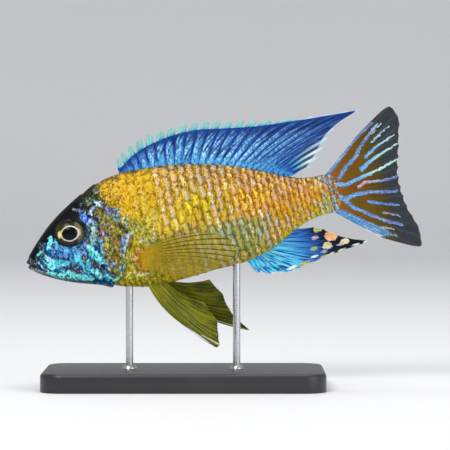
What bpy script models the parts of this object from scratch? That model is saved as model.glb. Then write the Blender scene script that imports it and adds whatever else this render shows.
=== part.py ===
# Peacock cichlid, an adult male at life size, nose down on a display stand with two rods.
#
# The fish is worked out in its own frame, in millimetres: x runs from the snout to the tail,
# y from its left side to its right, and z from belly to back, with the snout tip near the origin.
# place() pitches that frame nose down and sets it over the stand. The stand's foot is centred on the
# world's origin, with its underside at z = 0. The last lines turn the millimetres into metres.

import bisect
import math

import bmesh
import bpy
from mathutils import Matrix, Vector

MM = 0.001
GAP = 0.3  # clearance between neighbouring pieces

# Driving sizes of the fish, in millimetres
BODY_LENGTH = 99.0  # snout to the root of the tail fin
PITCH = math.radians(12.3)  # nose down
SNOUT_X = -50.0  # snout tip from the middle of the stand
SNOUT_Z = 40.5  # snout tip above the floor
TAIL_SWAY = 4.0  # how far the tail's end swings to the fish's right
SWAY_FROM = 62.0  # where that bend begins

# Outlines of the body: (x, height) for the back, belly and widest level, and (x, half width)
BACK = [(0, -0.8), (0.4, 0.9), (1.8, 2.7), (4.9, 5.9), (9.7, 10.2), (15.6, 14.2), (22, 17.7), (28, 20.1),
        (35, 21.4), (42, 21.3), (50, 20.7), (60, 18.9), (70, 16.1), (79, 12.6), (86, 9.4), (92, 7.4),
        (99, 7.1)]
BELLY = [(0, -0.8), (0.3, -2.3), (1.6, -3.9), (4, -5.6), (8, -7.8), (15, -10.6), (22, -12.7), (29, -14.8),
         (37, -16.5), (46, -16.5), (58, -15.7), (68, -15.3), (76, -13.5), (82, -10.9), (88, -7.8), (93, -6.4),
         (99, -6.0)]
MIDDLE = [(0, -0.8), (5, 0.0), (15, 1.5), (30, 1.5), (50, 1.0), (75, 0.6), (99, 0.5)]
HALF_WIDTH = [(0, 0), (0.4, 1.1), (1.8, 2.5), (5, 4.1), (10, 5.6), (15, 6.7), (21, 7.7), (28, 8.3), (35, 8.3),
              (45, 7.8), (55, 7.0), (65, 5.8), (75, 4.5), (85, 3.2), (93, 2.3), (99, 1.8)]
BODY_RINGS = 40
BODY_SIDES = 28

# Lines on the side of the head and body, as (x, z)
GILL_LINE = [(25.0, 24.0), (26.2, 19.5), (28.4, 14.0), (31.6, 9.8), (34.4, 5.8), (35.3, 2.4), (34.4, -1.2),
             (32.5, -4.6), (31.0, -8.0), (29.0, -10.8), (26.0, -12.7), (23.4, -16.0)]
CHEEK_LINE = [(27.2, 12.4), (24.2, 10.4), (23.0, 7.0), (23.6, 3.4), (24.4, -0.6), (24.4, -5.0), (25.2, -9.2),
              (26.0, -11.4)]
STALK_START = 84.0
MOUTH_TIP = (-0.6, -1.2)
MOUTH_CORNER = (5.6, -4.2)
JAW_HINGE = (10.4, -8.2)
JAW_BACK = (11.0, -12.0)
LIP_RADIUS = 0.85
LIP_FRONT = 0.55
LIP_HALF_SPAN = 3.75
LIP_LIFT = 0.5
LIP_STEPS = 16
GILL_PLATE_DEPTH = 1.2
GILL_PLATE_PROUD = 0.25

EYE_CENTRE = (15.2, 4.7, 5.6)
EYE_RADIUS = 4.3
EYE_HALF_DEPTH = 2.7
ORBIT_RIM = 0.45
ORBIT_REACH = 4.15
NOSTRIL = (5.8, 3.7)
NOSTRIL_RADIUS = 0.6

# Fins. A ray is numbered from the front, or from the top of a fin that fans backwards.
WEB_HALF = 0.26  # half the thickness of the membrane
RAY_HALF = 0.22  # how far a ray stands out of the membrane, on each face
ROOT_HALF = 0.35  # how much thicker a fin is at its root, on each face
RAY_STEPS = (0.0, 0.16, 0.5, 0.84)  # columns from one ray towards the next
FIN_ROWS = 6

DORSAL_SPINES = 16
DORSAL_RAYS = 27
DORSAL_ROOT_X = [(0, 34.5), (15, 71.2), (26, 88.6)]
DORSAL_TIP_X = [(0, 34.6), (1, 36.7), (3, 43), (5, 50.6), (8, 62), (11, 73), (15, 88.7), (17, 98.3),
                (19, 109.5), (20, 114.5), (21, 109.4), (22, 105.4), (24, 100.8), (26, 95.4)]
DORSAL_TIP_Z = [(0, 25.9), (1, 27.6), (3, 30.4), (5, 31.8), (8, 31.9), (11, 29.9), (15, 26.9), (17, 25.8),
                (19, 25.2), (20, 24.9), (21, 22.9), (22, 20.6), (24, 15.4), (26, 9.9)]
DORSAL_NOTCH = [(0, 3.4), (3, 3.4), (8, 2.8), (15, 2.2), (17, 1.2), (20, 1.6), (23, 3.0), (26, 2.4)]
LAPPET_MIDDLE = 0.52  # where a lappet stands between two spines, and half its width
LAPPET_HALF = 0.42
LAPPET_LEAN = 0.55

ANAL_RAYS = 11
ANAL_ROOT_X = [(0, 68.8), (10, 87.2)]
ANAL_TIP_X = [(0, 70.9), (1, 74.8), (2, 79.0), (3, 84.5), (4, 90.0), (5, 97.6), (6, 107.6), (7, 102.0),
              (8, 98.2), (9, 94.8), (10, 91.6)]
ANAL_TIP_Z = [(0, -19.3), (1, -20.5), (2, -21.1), (3, -20.8), (4, -19.7), (5, -18.5), (6, -17.2), (7, -14.8),
              (8, -12.4), (9, -10.3), (10, -8.9)]
ANAL_NOTCH = [(0, 1.2), (2, 1.0), (4, 0.7), (10, 0.9)]

TAIL_RAYS = 17
TAIL_ROOT_Z = [(0, 6.9), (16, -5.8)]
TAIL_TIP_X = [(0, 112.0), (1, 122.9), (2, 125.6), (4, 124.8), (8, 122.0), (11, 122.6), (14, 124.8),
              (15, 123.4), (16, 112.0)]
TAIL_TIP_Z = [(0, 17.2), (1, 23.6), (2, 20.6), (4, 14.0), (8, 0.8), (11, -8.6), (14, -19.2), (15, -22.3),
              (16, -16.8)]
TAIL_NOTCH = [(0, 0.0), (2, 0.5), (14, 0.5), (16, 0.0)]

PECTORAL_RAYS = 14
PECTORAL_ROOT_TOP = (36.2, -3.9)
PECTORAL_ROOT_FOOT = (36.6, -10.4)
PECTORAL_TIP_X = [(0, 56.5), (1, 61.0), (2, 64.6), (3, 66.2), (5, 64.6), (8, 58.0), (11, 49.5), (13, 43.0)]
PECTORAL_TIP_Z = [(0, -2.4), (1, -4.0), (2, -6.4), (3, -8.9), (5, -12.2), (8, -14.9), (11, -15.6),
                  (13, -14.2)]
PECTORAL_FLARE = math.radians(15)
PECTORAL_DIP = math.radians(8)  # the lower edge stands further out

PELVIC_RAYS = 6
PELVIC_ROOT_X = [(0, 35.8), (5, 41.2)]
PELVIC_SIDE = 2.4
PELVIC_SPLAY = math.radians(20)
LEFT_PELVIC_TIP_X = [(0, 45.0), (1, 52.7), (2, 54.5), (3, 54.8), (4, 55.2), (5, 52.5)]
LEFT_PELVIC_TIP_Z = [(0, -30.6), (1, -38.8), (2, -38.7), (3, -35.6), (4, -31.0), (5, -24.5)]
RIGHT_PELVIC_TIP_X = [(0, 52.5), (1, 64.2), (2, 61.8), (3, 59.8), (4, 58.6), (5, 55.6)]
RIGHT_PELVIC_TIP_Z = [(0, -30.8), (1, -37.5), (2, -33.0), (3, -29.2), (4, -24.0), (5, -18.6)]
PELVIC_BOW = -0.14

# Driving sizes of the stand
FOOT_SIZE = (90.0, 46.0, 6.0)
FOOT_CORNER = 7.0
FOOT_EDGE = 1.2
ROD_RADIUS = 1.2
ROD_SEAT = 4.0  # how deep a rod stands in the foot
FRONT_ROD_X = 30.0  # along the fish
REAR_ROD_X = 65.0

SHARP_ANGLE = math.radians(40)


def smooth(table):
    """A smooth curve through the table's (place, value) pairs, as a function."""
    places = [pair[0] for pair in table]
    values = [pair[1] for pair in table]
    last = len(table) - 1
    rises = [(values[i + 1] - values[i]) / (places[i + 1] - places[i]) for i in range(last)]
    slopes = [rises[0]]
    for i in range(1, last):
        before = places[i] - places[i - 1]
        after = places[i + 1] - places[i]
        slopes.append((rises[i - 1] * after + rises[i] * before) / (before + after))
    slopes.append(rises[-1])

    def value(place):
        if place <= places[0]:
            return values[0]
        if place >= places[-1]:
            return values[-1]
        i = bisect.bisect_right(places, place) - 1
        span = places[i + 1] - places[i]
        t = (place - places[i]) / span
        return (
            (2 * t**3 - 3 * t**2 + 1) * values[i]
            + (t**3 - 2 * t**2 + t) * span * slopes[i]
            + (3 * t**2 - 2 * t**3) * values[i + 1]
            + (t**3 - t**2) * span * slopes[i + 1]
        )

    return value


def rounded(table):
    """As smooth(), for an outline that starts at the blunt snout: the curve runs in the root of x."""
    inner = smooth([(math.sqrt(place), value) for place, value in table])
    return lambda x: inner(math.sqrt(max(x, 0.0)))


back = rounded(BACK)
belly = rounded(BELLY)
half_width = rounded(HALF_WIDTH)
middle = smooth(MIDDLE)


def section(x, turn, grow=0.0):
    """(y, z) on the body's section at x.

    turn runs from 0 on the back, over the right side, to half a turn on the belly.
    """
    level = middle(x)
    wide = (half_width(x) + grow) * math.sin(turn)
    if math.cos(turn) > 0:
        return wide, level + (back(x) + grow - level) * math.cos(turn)
    return wide, level + (level - belly(x) + grow) * math.cos(turn)


def side_of_body(x, z, grow=0.0):
    """Half the body's width at (x, z)."""
    level = middle(x)
    reach = (back(x) - level if z > level else level - belly(x)) + grow
    share = min(abs(z - level) / reach, 1.0)
    return (half_width(x) + grow) * math.sqrt(1 - share**2)


def place(x, y, z):
    """A point of the fish's own frame, moved to its place over the stand."""
    y += TAIL_SWAY * max(0.0, (x - SWAY_FROM) / (125.0 - SWAY_FROM)) ** 2
    along = x * math.cos(PITCH) - z * math.sin(PITCH)
    up = x * math.sin(PITCH) + z * math.cos(PITCH)
    return Vector((SNOUT_X + along, y, SNOUT_Z + up))


def paint(obj, colour, roughness, metallic=0.0):
    """Gives obj a plain material of its own."""
    material = bpy.data.materials.new(obj.name)
    material.use_nodes = True
    shader = material.node_tree.nodes["Principled BSDF"]
    shader.inputs["Base Color"].default_value = (*colour, 1.0)
    shader.inputs["Roughness"].default_value = roughness
    shader.inputs["Metallic"].default_value = metallic
    obj.data.materials.clear()
    obj.data.materials.append(material)


def add_object(name, shape):
    """A new object made from a bmesh, in the object's collection."""
    shape.normal_update()
    bmesh.ops.recalc_face_normals(shape, faces=shape.faces)
    mesh = bpy.data.meshes.new(name)
    shape.to_mesh(mesh)
    shape.free()
    obj = bpy.data.objects.new(name, mesh)
    fish.objects.link(obj)
    return obj


def combine(obj, operation, others):
    """Joins obj with, or cuts it by, the others, and removes them."""
    for other in others:
        modifier = obj.modifiers.new(operation.title(), "BOOLEAN")
        modifier.operation = operation
        modifier.object = other
    graph = bpy.context.evaluated_depsgraph_get()
    mesh = bpy.data.meshes.new_from_object(obj.evaluated_get(graph))
    obj.modifiers.clear()
    obj.data = mesh
    for other in others:
        bpy.data.objects.remove(other)
    return obj


def keep_largest(obj):
    """Drops every loose surface of obj but the largest."""
    shape = bmesh.new()
    shape.from_mesh(obj.data)
    bmesh.ops.remove_doubles(shape, verts=shape.verts, dist=1e-4)
    left = set(shape.verts)
    groups = []
    while left:
        group = {left.pop()}
        front = list(group)
        while front:
            vert = front.pop()
            near = {edge.other_vert(vert) for edge in vert.link_edges} - group
            group |= near
            front.extend(near)
        left -= group
        groups.append(group)
    best = max(groups, key=len)
    bmesh.ops.delete(shape, geom=[vert for vert in shape.verts if vert not in best], context="VERTS")
    shape.to_mesh(obj.data)
    shape.free()
    return obj


def make_body(name, grow=0.0):
    """The whole body as one closed shape: a sphere whose rings are set to the body's sections."""
    shape = bmesh.new()
    bmesh.ops.create_uvsphere(shape, u_segments=BODY_SIDES, v_segments=BODY_RINGS + 1, radius=1.0)
    for vert in shape.verts:
        ring = round(math.acos(max(-1.0, min(1.0, vert.co.z))) / math.pi * (BODY_RINGS + 1))
        turn = math.atan2(vert.co.y, vert.co.x)
        if ring == 0:
            vert.co = place(-grow, 0, middle(0))
        elif ring > BODY_RINGS:
            vert.co = place(BODY_LENGTH + grow, 0, middle(BODY_LENGTH))
        else:
            x = BODY_LENGTH * (ring / BODY_RINGS) ** 1.5
            y, z = section(x, turn, grow)
            vert.co = place(x if ring < BODY_RINGS else BODY_LENGTH + grow, y, z)
    return add_object(name, shape)


def side_prism(name, outline, low, high):
    """A block with an outline seen from the side, from y = low to y = high."""
    shape = bmesh.new()
    face = shape.faces.new([shape.verts.new((x, low, z)) for x, z in outline])
    rise = bmesh.ops.extrude_face_region(shape, geom=[face])
    moved = [item for item in rise["geom"] if isinstance(item, bmesh.types.BMVert)]
    bmesh.ops.translate(shape, verts=moved, vec=(0, high - low, 0))
    for vert in shape.verts:
        vert.co = place(*vert.co)
    return add_object(name, shape)


def shifted(line, distance):
    """A line on the side view, moved tailwards."""
    return [(x + distance, z) for x, z in line]


def curved(line, steps=3):
    """A smooth line through the given points."""
    xs = smooth([(i, point[0]) for i, point in enumerate(line)])
    zs = smooth([(i, point[1]) for i, point in enumerate(line)])
    count = (len(line) - 1) * steps
    return [(xs(i / steps), zs(i / steps)) for i in range(count + 1)]


def make_lip(name, lift):
    """A round lip that follows the mouth line round the snout, raised or lowered by lift."""
    points = []
    for i in range(LIP_STEPS + 1):
        swing = math.pi * (i / LIP_STEPS - 0.5)
        share = 1 - math.cos(swing)
        x = LIP_FRONT + (MOUTH_CORNER[0] - 0.4 - LIP_FRONT) * share
        z = MOUTH_TIP[1] + (MOUTH_CORNER[1] - MOUTH_TIP[1]) * share + lift * (1 - share**3)
        points.append((place(x, LIP_HALF_SPAN * math.sin(swing), z), 1 - 0.35 * share))
    curve = bpy.data.curves.new(name, "CURVE")
    curve.dimensions = "3D"
    curve.bevel_depth = LIP_RADIUS
    curve.bevel_resolution = 1
    curve.use_fill_caps = True
    line = curve.splines.new("POLY")
    line.points.add(len(points) - 1)
    for point, (spot, fullness) in zip(line.points, points):
        point.co = (*spot, 1.0)
        point.radius = fullness
    guide = bpy.data.objects.new(name, curve)
    fish.objects.link(guide)
    graph = bpy.context.evaluated_depsgraph_get()
    shape = bmesh.new()
    shape.from_mesh(bpy.data.meshes.new_from_object(guide.evaluated_get(graph)))
    bmesh.ops.remove_doubles(shape, verts=shape.verts, dist=1e-4)
    bpy.data.objects.remove(guide)
    return add_object(name, shape)


def make_ball(name, centre, radii, sides, rings):
    """An ellipsoid with its poles to the fish's left and right."""
    shape = bmesh.new()
    bmesh.ops.create_uvsphere(shape, u_segments=sides, v_segments=rings, radius=1.0)
    for vert in shape.verts:
        x, z, y = vert.co
        vert.co = place(centre[0] + x * radii[0], centre[1] + y * radii[1], centre[2] + z * radii[2])
    return add_object(name, shape)


def make_orbit(name, side):
    """The raised rim of skin round an eye."""
    shape = bmesh.new()
    bmesh.ops.create_circle(shape, segments=6, radius=ORBIT_RIM)
    bmesh.ops.translate(shape, verts=shape.verts, vec=(ORBIT_REACH, 0, 0))
    bmesh.ops.rotate(shape, verts=shape.verts, cent=(0, 0, 0), matrix=Matrix.Rotation(math.pi / 2, 3, "X"))
    bmesh.ops.spin(
        shape, geom=shape.verts[:] + shape.edges[:], cent=(0, 0, 0), axis=(0, 0, 1), angle=2 * math.pi,
        steps=19, use_merge=True,
    )
    bmesh.ops.remove_doubles(shape, verts=shape.verts, dist=1e-4)
    for vert in shape.verts:
        x, z, out = vert.co
        spot_x = EYE_CENTRE[0] + x
        spot_z = EYE_CENTRE[2] + z
        vert.co = place(spot_x, side * (side_of_body(spot_x, spot_z) + out), spot_z)
    return add_object(name, shape)


def gill_plate(name, side, depth, proud, spread):
    """The gill cover of one side, as a plate of the body's own surface."""
    rear = shifted(curved(GILL_LINE[2:-1]), spread - GAP / 2)
    front = shifted(curved(CHEEK_LINE), -spread)
    outline = rear + front[::-1]
    if spread:
        top, foot = rear[0], rear[-1]
        outline = [(top[0], top[1] + spread)] + rear
        outline += [(foot[0], foot[1] - spread), (foot[0] - 2 * spread, foot[1] - spread)]
        outline += front[::-1] + [(top[0] - 2 * spread, top[1] + spread)]
    limits = (0.6, 20) if side > 0 else (-20, -0.6)
    plate = make_body(name, proud)
    combine(plate, "INTERSECT", [side_prism("outline", outline, *limits)])
    combine(plate, "DIFFERENCE", [make_body("core", -depth)])
    return keep_largest(plate)


def ray_shape(root, tip, bow, share):
    """A point on a ray that bows, from root (0) to tip (1), as (x, z)."""
    across = (root[1] - tip[1], tip[0] - root[0])
    bend = 2 * share * (1 - share) * bow
    return tuple(root[i] + (tip[i] - root[i]) * share + across[i] * bend for i in range(2))


def make_fin(name, rays, root, tip, bow, notch, sheet, out, spines=0):
    """A fin as one closed sheet with a ridge for each ray.

    root(u) and tip(u) give (x, z) for ray number u, sheet(x, z) gives y on the fin's middle surface, and
    out is the direction that its faces look in. notch(u) is how far the membrane falls short between
    rays, or between the lappets of the first rays, the spines.
    """
    columns = [i + step for i in range(rays - 1) for step in RAY_STEPS] + [rays - 1.0]
    shape = bmesh.new()
    bmesh.ops.create_grid(shape, x_segments=len(columns) - 1, y_segments=FIN_ROWS - 1, size=1.0)
    number = shape.verts.layers.int.new("number")
    for vert in shape.verts:
        column = round((vert.co.x + 1) / 2 * (len(columns) - 1))
        row = round((vert.co.y + 1) / 2 * (FIN_ROWS - 1))
        vert[number] = column * FIN_ROWS + row
    bmesh.ops.triangulate(shape, faces=shape.faces)
    back_verts = set(shape.verts)
    bmesh.ops.extrude_face_region(shape, geom=shape.faces[:])
    for vert in shape.verts:
        u = columns[vert[number] // FIN_ROWS]
        row = vert[number] % FIN_ROWS
        share = row / (FIN_ROWS - 1)
        between = u - math.floor(u)
        start, end = root(u), tip(u)
        if math.floor(u) < spines:
            # a rounded lappet, which leans towards the next spine
            short = 1 - math.sqrt(max(0.0, 1 - ((between - LAPPET_MIDDLE) / LAPPET_HALF) ** 2))
            end = tip(u - LAPPET_LEAN)
        else:
            short = math.sin(between * math.pi)
        length = math.dist(start, end)
        share *= 1 - min(notch(u) / length, 0.7) * short
        x, z = ray_shape(start, end, bow, share)
        ridge = max(0.0, 1 - min(between, 1 - between) / RAY_STEPS[1])
        half = WEB_HALF + RAY_HALF * ridge * (1 - 0.6 * share) + ROOT_HALF * (1 - share) ** 3
        face = -1 if vert in back_verts else 1
        vert.co = place(*(Vector((x, sheet(x, z), z)) + face * half * Vector(out)))
    return add_object(name, shape)


def pair_reader(x_table, z_table):
    """A function of the ray's number that gives (x, z)."""
    xs, zs = smooth(x_table), smooth(z_table)
    return lambda u: (xs(u), zs(u))


def make_median_fins():
    """The dorsal, anal and tail fins, which stand in the body's middle plane."""
    flat = (0, 1, 0)
    root_x = smooth(DORSAL_ROOT_X)
    dorsal = make_fin(
        "dorsal_fin", DORSAL_RAYS, lambda u: (root_x(u), back(root_x(u)) + GAP),
        pair_reader(DORSAL_TIP_X, DORSAL_TIP_Z), 0.07, smooth(DORSAL_NOTCH), lambda x, z: 0.0, flat,
        DORSAL_SPINES,
    )
    paint(dorsal, (0.05, 0.22, 0.75), 0.35)
    anal_x = smooth(ANAL_ROOT_X)
    anal = make_fin(
        "anal_fin", ANAL_RAYS, lambda u: (anal_x(u), belly(anal_x(u)) - GAP),
        pair_reader(ANAL_TIP_X, ANAL_TIP_Z), -0.05, smooth(ANAL_NOTCH), lambda x, z: 0.0, flat,
    )
    paint(anal, (0.06, 0.3, 0.8), 0.35)
    root_z = smooth(TAIL_ROOT_Z)
    tail = make_fin(
        "tail_fin", TAIL_RAYS, lambda u: (BODY_LENGTH + GAP, root_z(u)),
        pair_reader(TAIL_TIP_X, TAIL_TIP_Z), 0.0, smooth(TAIL_NOTCH), lambda x, z: 0.0, flat,
    )
    paint(tail, (0.4, 0.2, 0.05), 0.4)


def make_pectoral_fin(name, side):
    """A pectoral fin, which fans backwards from the flank just behind the gill cover."""
    foot = [PECTORAL_ROOT_FOOT[i] - PECTORAL_ROOT_TOP[i] for i in range(2)]
    hinge = side_of_body(*PECTORAL_ROOT_TOP) - 0.9

    def root(u):
        share = u / (PECTORAL_RAYS - 1)
        return tuple(PECTORAL_ROOT_TOP[i] + foot[i] * share for i in range(2))

    def sheet(x, z):
        outward = (x - PECTORAL_ROOT_TOP[0]) * math.tan(PECTORAL_FLARE)
        return side * (hinge + outward + (PECTORAL_ROOT_TOP[1] - z) * math.tan(PECTORAL_DIP))

    out = Vector((-math.tan(PECTORAL_FLARE), 1, math.tan(PECTORAL_DIP))).normalized()
    out = Vector((out.x * side, out.y, out.z * side))
    fin = make_fin(name, PECTORAL_RAYS, root, pair_reader(PECTORAL_TIP_X, PECTORAL_TIP_Z), 0.05,
                   lambda u: 0.5, sheet, out)
    combine(fin, "DIFFERENCE", [make_body("flank", GAP)])
    paint(keep_largest(fin), (0.6, 0.5, 0.1), 0.4)


def make_pelvic_fin(name, side, tip_x, tip_z):
    """A pelvic fin, which hangs and splays from the breast."""
    root_x = smooth(PELVIC_ROOT_X)
    top = belly(PELVIC_ROOT_X[0][1])

    def sheet(x, z):
        return side * (PELVIC_SIDE + (top - z) * math.tan(PELVIC_SPLAY))

    out = (0, math.cos(PELVIC_SPLAY), side * math.sin(PELVIC_SPLAY))
    fin = make_fin(name, PELVIC_RAYS, lambda u: (root_x(u), top + 1.2), pair_reader(tip_x, tip_z),
                   PELVIC_BOW, lambda u: 1.0, sheet, out)
    combine(fin, "DIFFERENCE", [make_body("breast", GAP)])
    paint(keep_largest(fin), (0.35, 0.38, 0.05), 0.4)


def make_head_and_trunk():
    """The body whole, parted by thin cuts into head, lower jaw, trunk and tail stalk."""
    gill = curved(GILL_LINE)
    jaw = [MOUTH_TIP, MOUTH_CORNER, JAW_HINGE, JAW_BACK, (-3.0, -12.0), (-3.0, MOUTH_TIP[1])]
    jaw_room = [(-4.0, MOUTH_TIP[1] + GAP), (MOUTH_TIP[0], MOUTH_TIP[1] + GAP),
                (MOUTH_CORNER[0] + GAP, MOUTH_CORNER[1] + GAP), (JAW_HINGE[0] + GAP, JAW_HINGE[1] + GAP / 2),
                (JAW_BACK[0] + GAP, -14.0), (-4.0, -14.0)]
    head = make_body("head")
    front = [(x - GAP / 2, z) for x, z in gill] + [(-5.0, -16.0), (-5.0, 24.0)]
    combine(head, "INTERSECT", [side_prism("front", front, -20, 20)])
    combine(head, "UNION", [make_lip("upper_lip", LIP_LIFT), make_orbit("rim", -1), make_orbit("rim", 1)])
    cutters = [side_prism("jaw_room", jaw_room, -20, 20)]
    for side in (-1, 1):
        centre = (EYE_CENTRE[0], side * EYE_CENTRE[1], EYE_CENTRE[2])
        radii = (EYE_RADIUS + GAP, EYE_HALF_DEPTH + GAP, EYE_RADIUS + GAP)
        cutters.append(make_ball("socket", centre, radii, 24, 14))
        pit = (NOSTRIL[0], side * side_of_body(*NOSTRIL), NOSTRIL[1])
        cutters.append(make_ball("nostril", pit, (NOSTRIL_RADIUS,) * 3, 8, 6))
        cutters.append(gill_plate("plate_room", side, GILL_PLATE_DEPTH + GAP, 1.5, GAP))
    combine(head, "DIFFERENCE", cutters)
    paint(keep_largest(head), (0.05, 0.35, 0.45), 0.35)

    lower_jaw = make_body("lower_jaw")
    combine(lower_jaw, "UNION", [make_lip("lower_lip", -LIP_LIFT)])
    combine(lower_jaw, "INTERSECT", [side_prism("jaw", jaw, -20, 20)])
    paint(keep_largest(lower_jaw), (0.05, 0.45, 0.5), 0.35)

    trunk = make_body("trunk")
    rear = [(x + GAP / 2, z) for x, z in gill]
    rear += [(STALK_START, -20.0), (STALK_START, 24.0)]
    combine(trunk, "INTERSECT", [side_prism("rear", rear, -20, 20)])
    paint(keep_largest(trunk), (0.65, 0.45, 0.05), 0.35)

    stalk = make_body("tail_stalk")
    start = STALK_START + GAP
    end = [(start, -20), (105, -20), (105, 24), (start, 24)]
    combine(stalk, "INTERSECT", [side_prism("end", end, -20, 20)])
    paint(keep_largest(stalk), (0.6, 0.35, 0.05), 0.35)


def make_gill_covers_and_eyes():
    """The pieces that sit in the head on each side."""
    for side, mark in ((-1, "left"), (1, "right")):
        plate = gill_plate(f"gill_cover_{mark}", side, GILL_PLATE_DEPTH, GILL_PLATE_PROUD, 0.0)
        paint(plate, (0.3, 0.35, 0.15), 0.35)
        centre = (EYE_CENTRE[0], side * EYE_CENTRE[1], EYE_CENTRE[2])
        eye = make_ball(f"eye_{mark}", centre, (EYE_RADIUS, EYE_HALF_DEPTH, EYE_RADIUS), 20, 12)
        paint(eye, (0.02, 0.02, 0.02), 0.08)


def make_stand():
    """A flat foot with rounded corners, and two rods that rise from it to the belly."""
    shape = bmesh.new()
    bmesh.ops.create_cube(shape, size=1.0)
    bmesh.ops.scale(shape, verts=shape.verts, vec=FOOT_SIZE)
    bmesh.ops.translate(shape, verts=shape.verts, vec=(0, 0, FOOT_SIZE[2] / 2))
    upright = [edge for edge in shape.edges if abs(edge.verts[0].co.z - edge.verts[1].co.z) > 1]
    bmesh.ops.bevel(shape, geom=upright, offset=FOOT_CORNER, segments=6, profile=0.5, affect="EDGES")
    top = [edge for edge in shape.edges if min(vert.co.z for vert in edge.verts) > FOOT_SIZE[2] - 0.1]
    bmesh.ops.bevel(shape, geom=top, offset=FOOT_EDGE, segments=3, profile=0.5, affect="EDGES")
    foot = add_object("stand_foot", shape)
    for name, x in (("stand_rod_front", FRONT_ROD_X), ("stand_rod_rear", REAR_ROD_X)):
        spot = place(x, 0, belly(x))
        bottom = FOOT_SIZE[2] - ROD_SEAT
        height = spot.z + 4 - bottom
        rod = make_rod(name, ROD_RADIUS, height, spot.x, bottom)
        combine(rod, "DIFFERENCE", [make_body("belly", GAP)])
        paint(keep_largest(rod), (0.6, 0.6, 0.6), 0.25, 1.0)
        combine(foot, "DIFFERENCE", [make_rod("seat", ROD_RADIUS + GAP, 20, spot.x, bottom - GAP)])
    paint(foot, (0.02, 0.02, 0.022), 0.35)


def make_rod(name, radius, height, x, bottom):
    """An upright round bar on the line y = 0."""
    shape = bmesh.new()
    bmesh.ops.create_cone(shape, cap_ends=True, segments=20, radius1=radius, radius2=radius, depth=height)
    bmesh.ops.translate(shape, verts=shape.verts, vec=(x, 0, bottom + height / 2))
    return add_object(name, shape)


for old in list(bpy.data.objects):
    bpy.data.objects.remove(old)
fish = bpy.data.collections.new("peacock_cichlid")
bpy.context.scene.collection.children.link(fish)

make_head_and_trunk()
make_gill_covers_and_eyes()
make_median_fins()
make_pectoral_fin("pectoral_fin_left", -1)
make_pectoral_fin("pectoral_fin_right", 1)
make_pelvic_fin("pelvic_fin_left", -1, LEFT_PELVIC_TIP_X, LEFT_PELVIC_TIP_Z)
make_pelvic_fin("pelvic_fin_right", 1, RIGHT_PELVIC_TIP_X, RIGHT_PELVIC_TIP_Z)
make_stand()
for piece in fish.objects:
    piece.data.transform(Matrix.Scale(MM, 4))
    piece.data.shade_smooth()
    piece.data.set_sharp_from_angle(angle=SHARP_ANGLE)
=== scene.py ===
import bisect
import math
import random

import bmesh
import bpy
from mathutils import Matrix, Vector, noise


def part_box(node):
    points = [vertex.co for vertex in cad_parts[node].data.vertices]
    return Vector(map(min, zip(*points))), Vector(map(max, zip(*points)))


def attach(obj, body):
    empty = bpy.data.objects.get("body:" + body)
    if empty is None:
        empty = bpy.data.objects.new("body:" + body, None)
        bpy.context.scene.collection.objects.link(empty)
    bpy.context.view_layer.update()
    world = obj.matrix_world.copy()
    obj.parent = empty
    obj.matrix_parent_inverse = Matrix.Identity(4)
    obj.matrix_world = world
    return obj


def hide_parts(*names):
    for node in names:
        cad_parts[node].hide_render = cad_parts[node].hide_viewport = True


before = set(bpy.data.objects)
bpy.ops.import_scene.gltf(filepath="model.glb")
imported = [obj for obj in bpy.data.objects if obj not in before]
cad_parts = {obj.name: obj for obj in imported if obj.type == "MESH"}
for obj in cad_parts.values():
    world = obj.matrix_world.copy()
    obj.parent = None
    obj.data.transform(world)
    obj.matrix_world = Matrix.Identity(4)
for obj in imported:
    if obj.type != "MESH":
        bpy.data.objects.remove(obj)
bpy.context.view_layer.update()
mm = 0.001

# The fish is worked out in its own frame, in millimetres: x from the snout to the tail, y from its left
# side to its right, z from belly to back. place() pitches it nose down over the stand.
fishPose = {
    "pitch": math.radians(12.3),
    "snoutX": -50.0,
    "snoutZ": 40.5,
    "tailSway": 4.0,
    "swayFrom": 62.0,
    "swayLength": 63.0,
}

bodyShape = {
    "length": 103.0,
    "back": [(0, -0.8), (0.4, 0.9), (1.8, 2.7), (4.9, 5.9), (9.7, 10.2), (15.6, 14.2), (22, 17.7), (28, 20.1),
             (35, 21.4), (42, 21.3), (50, 20.7), (60, 18.9), (70, 16.1), (79, 12.6), (86, 9.4), (92, 7.4),
             (99, 7.1), (103, 7.4)],
    "belly": [(0, -0.8), (0.3, -2.3), (1.6, -3.9), (4, -5.6), (8, -7.8), (15, -10.6), (22, -12.7),
              (29, -14.8), (37, -16.5), (46, -16.5), (58, -15.7), (68, -15.3), (76, -13.5), (82, -10.9),
              (88, -7.8), (93, -6.4), (99, -6.0), (103, -6.3)],
    "middle": [(0, -0.8), (5, 0.0), (15, 1.5), (30, 1.5), (50, 1.0), (75, 0.6), (103, 0.5)],
    "halfWidth": [(0, 0), (0.4, 1.1), (1.8, 2.5), (5, 4.1), (10, 5.6), (15, 6.7), (21, 7.7), (28, 8.3),
                  (35, 8.3), (45, 7.8), (55, 7.0), (65, 5.8), (75, 4.5), (85, 3.2), (93, 2.3), (97, 1.9),
                  (100, 1.2), (103, 0.15)],
}


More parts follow.
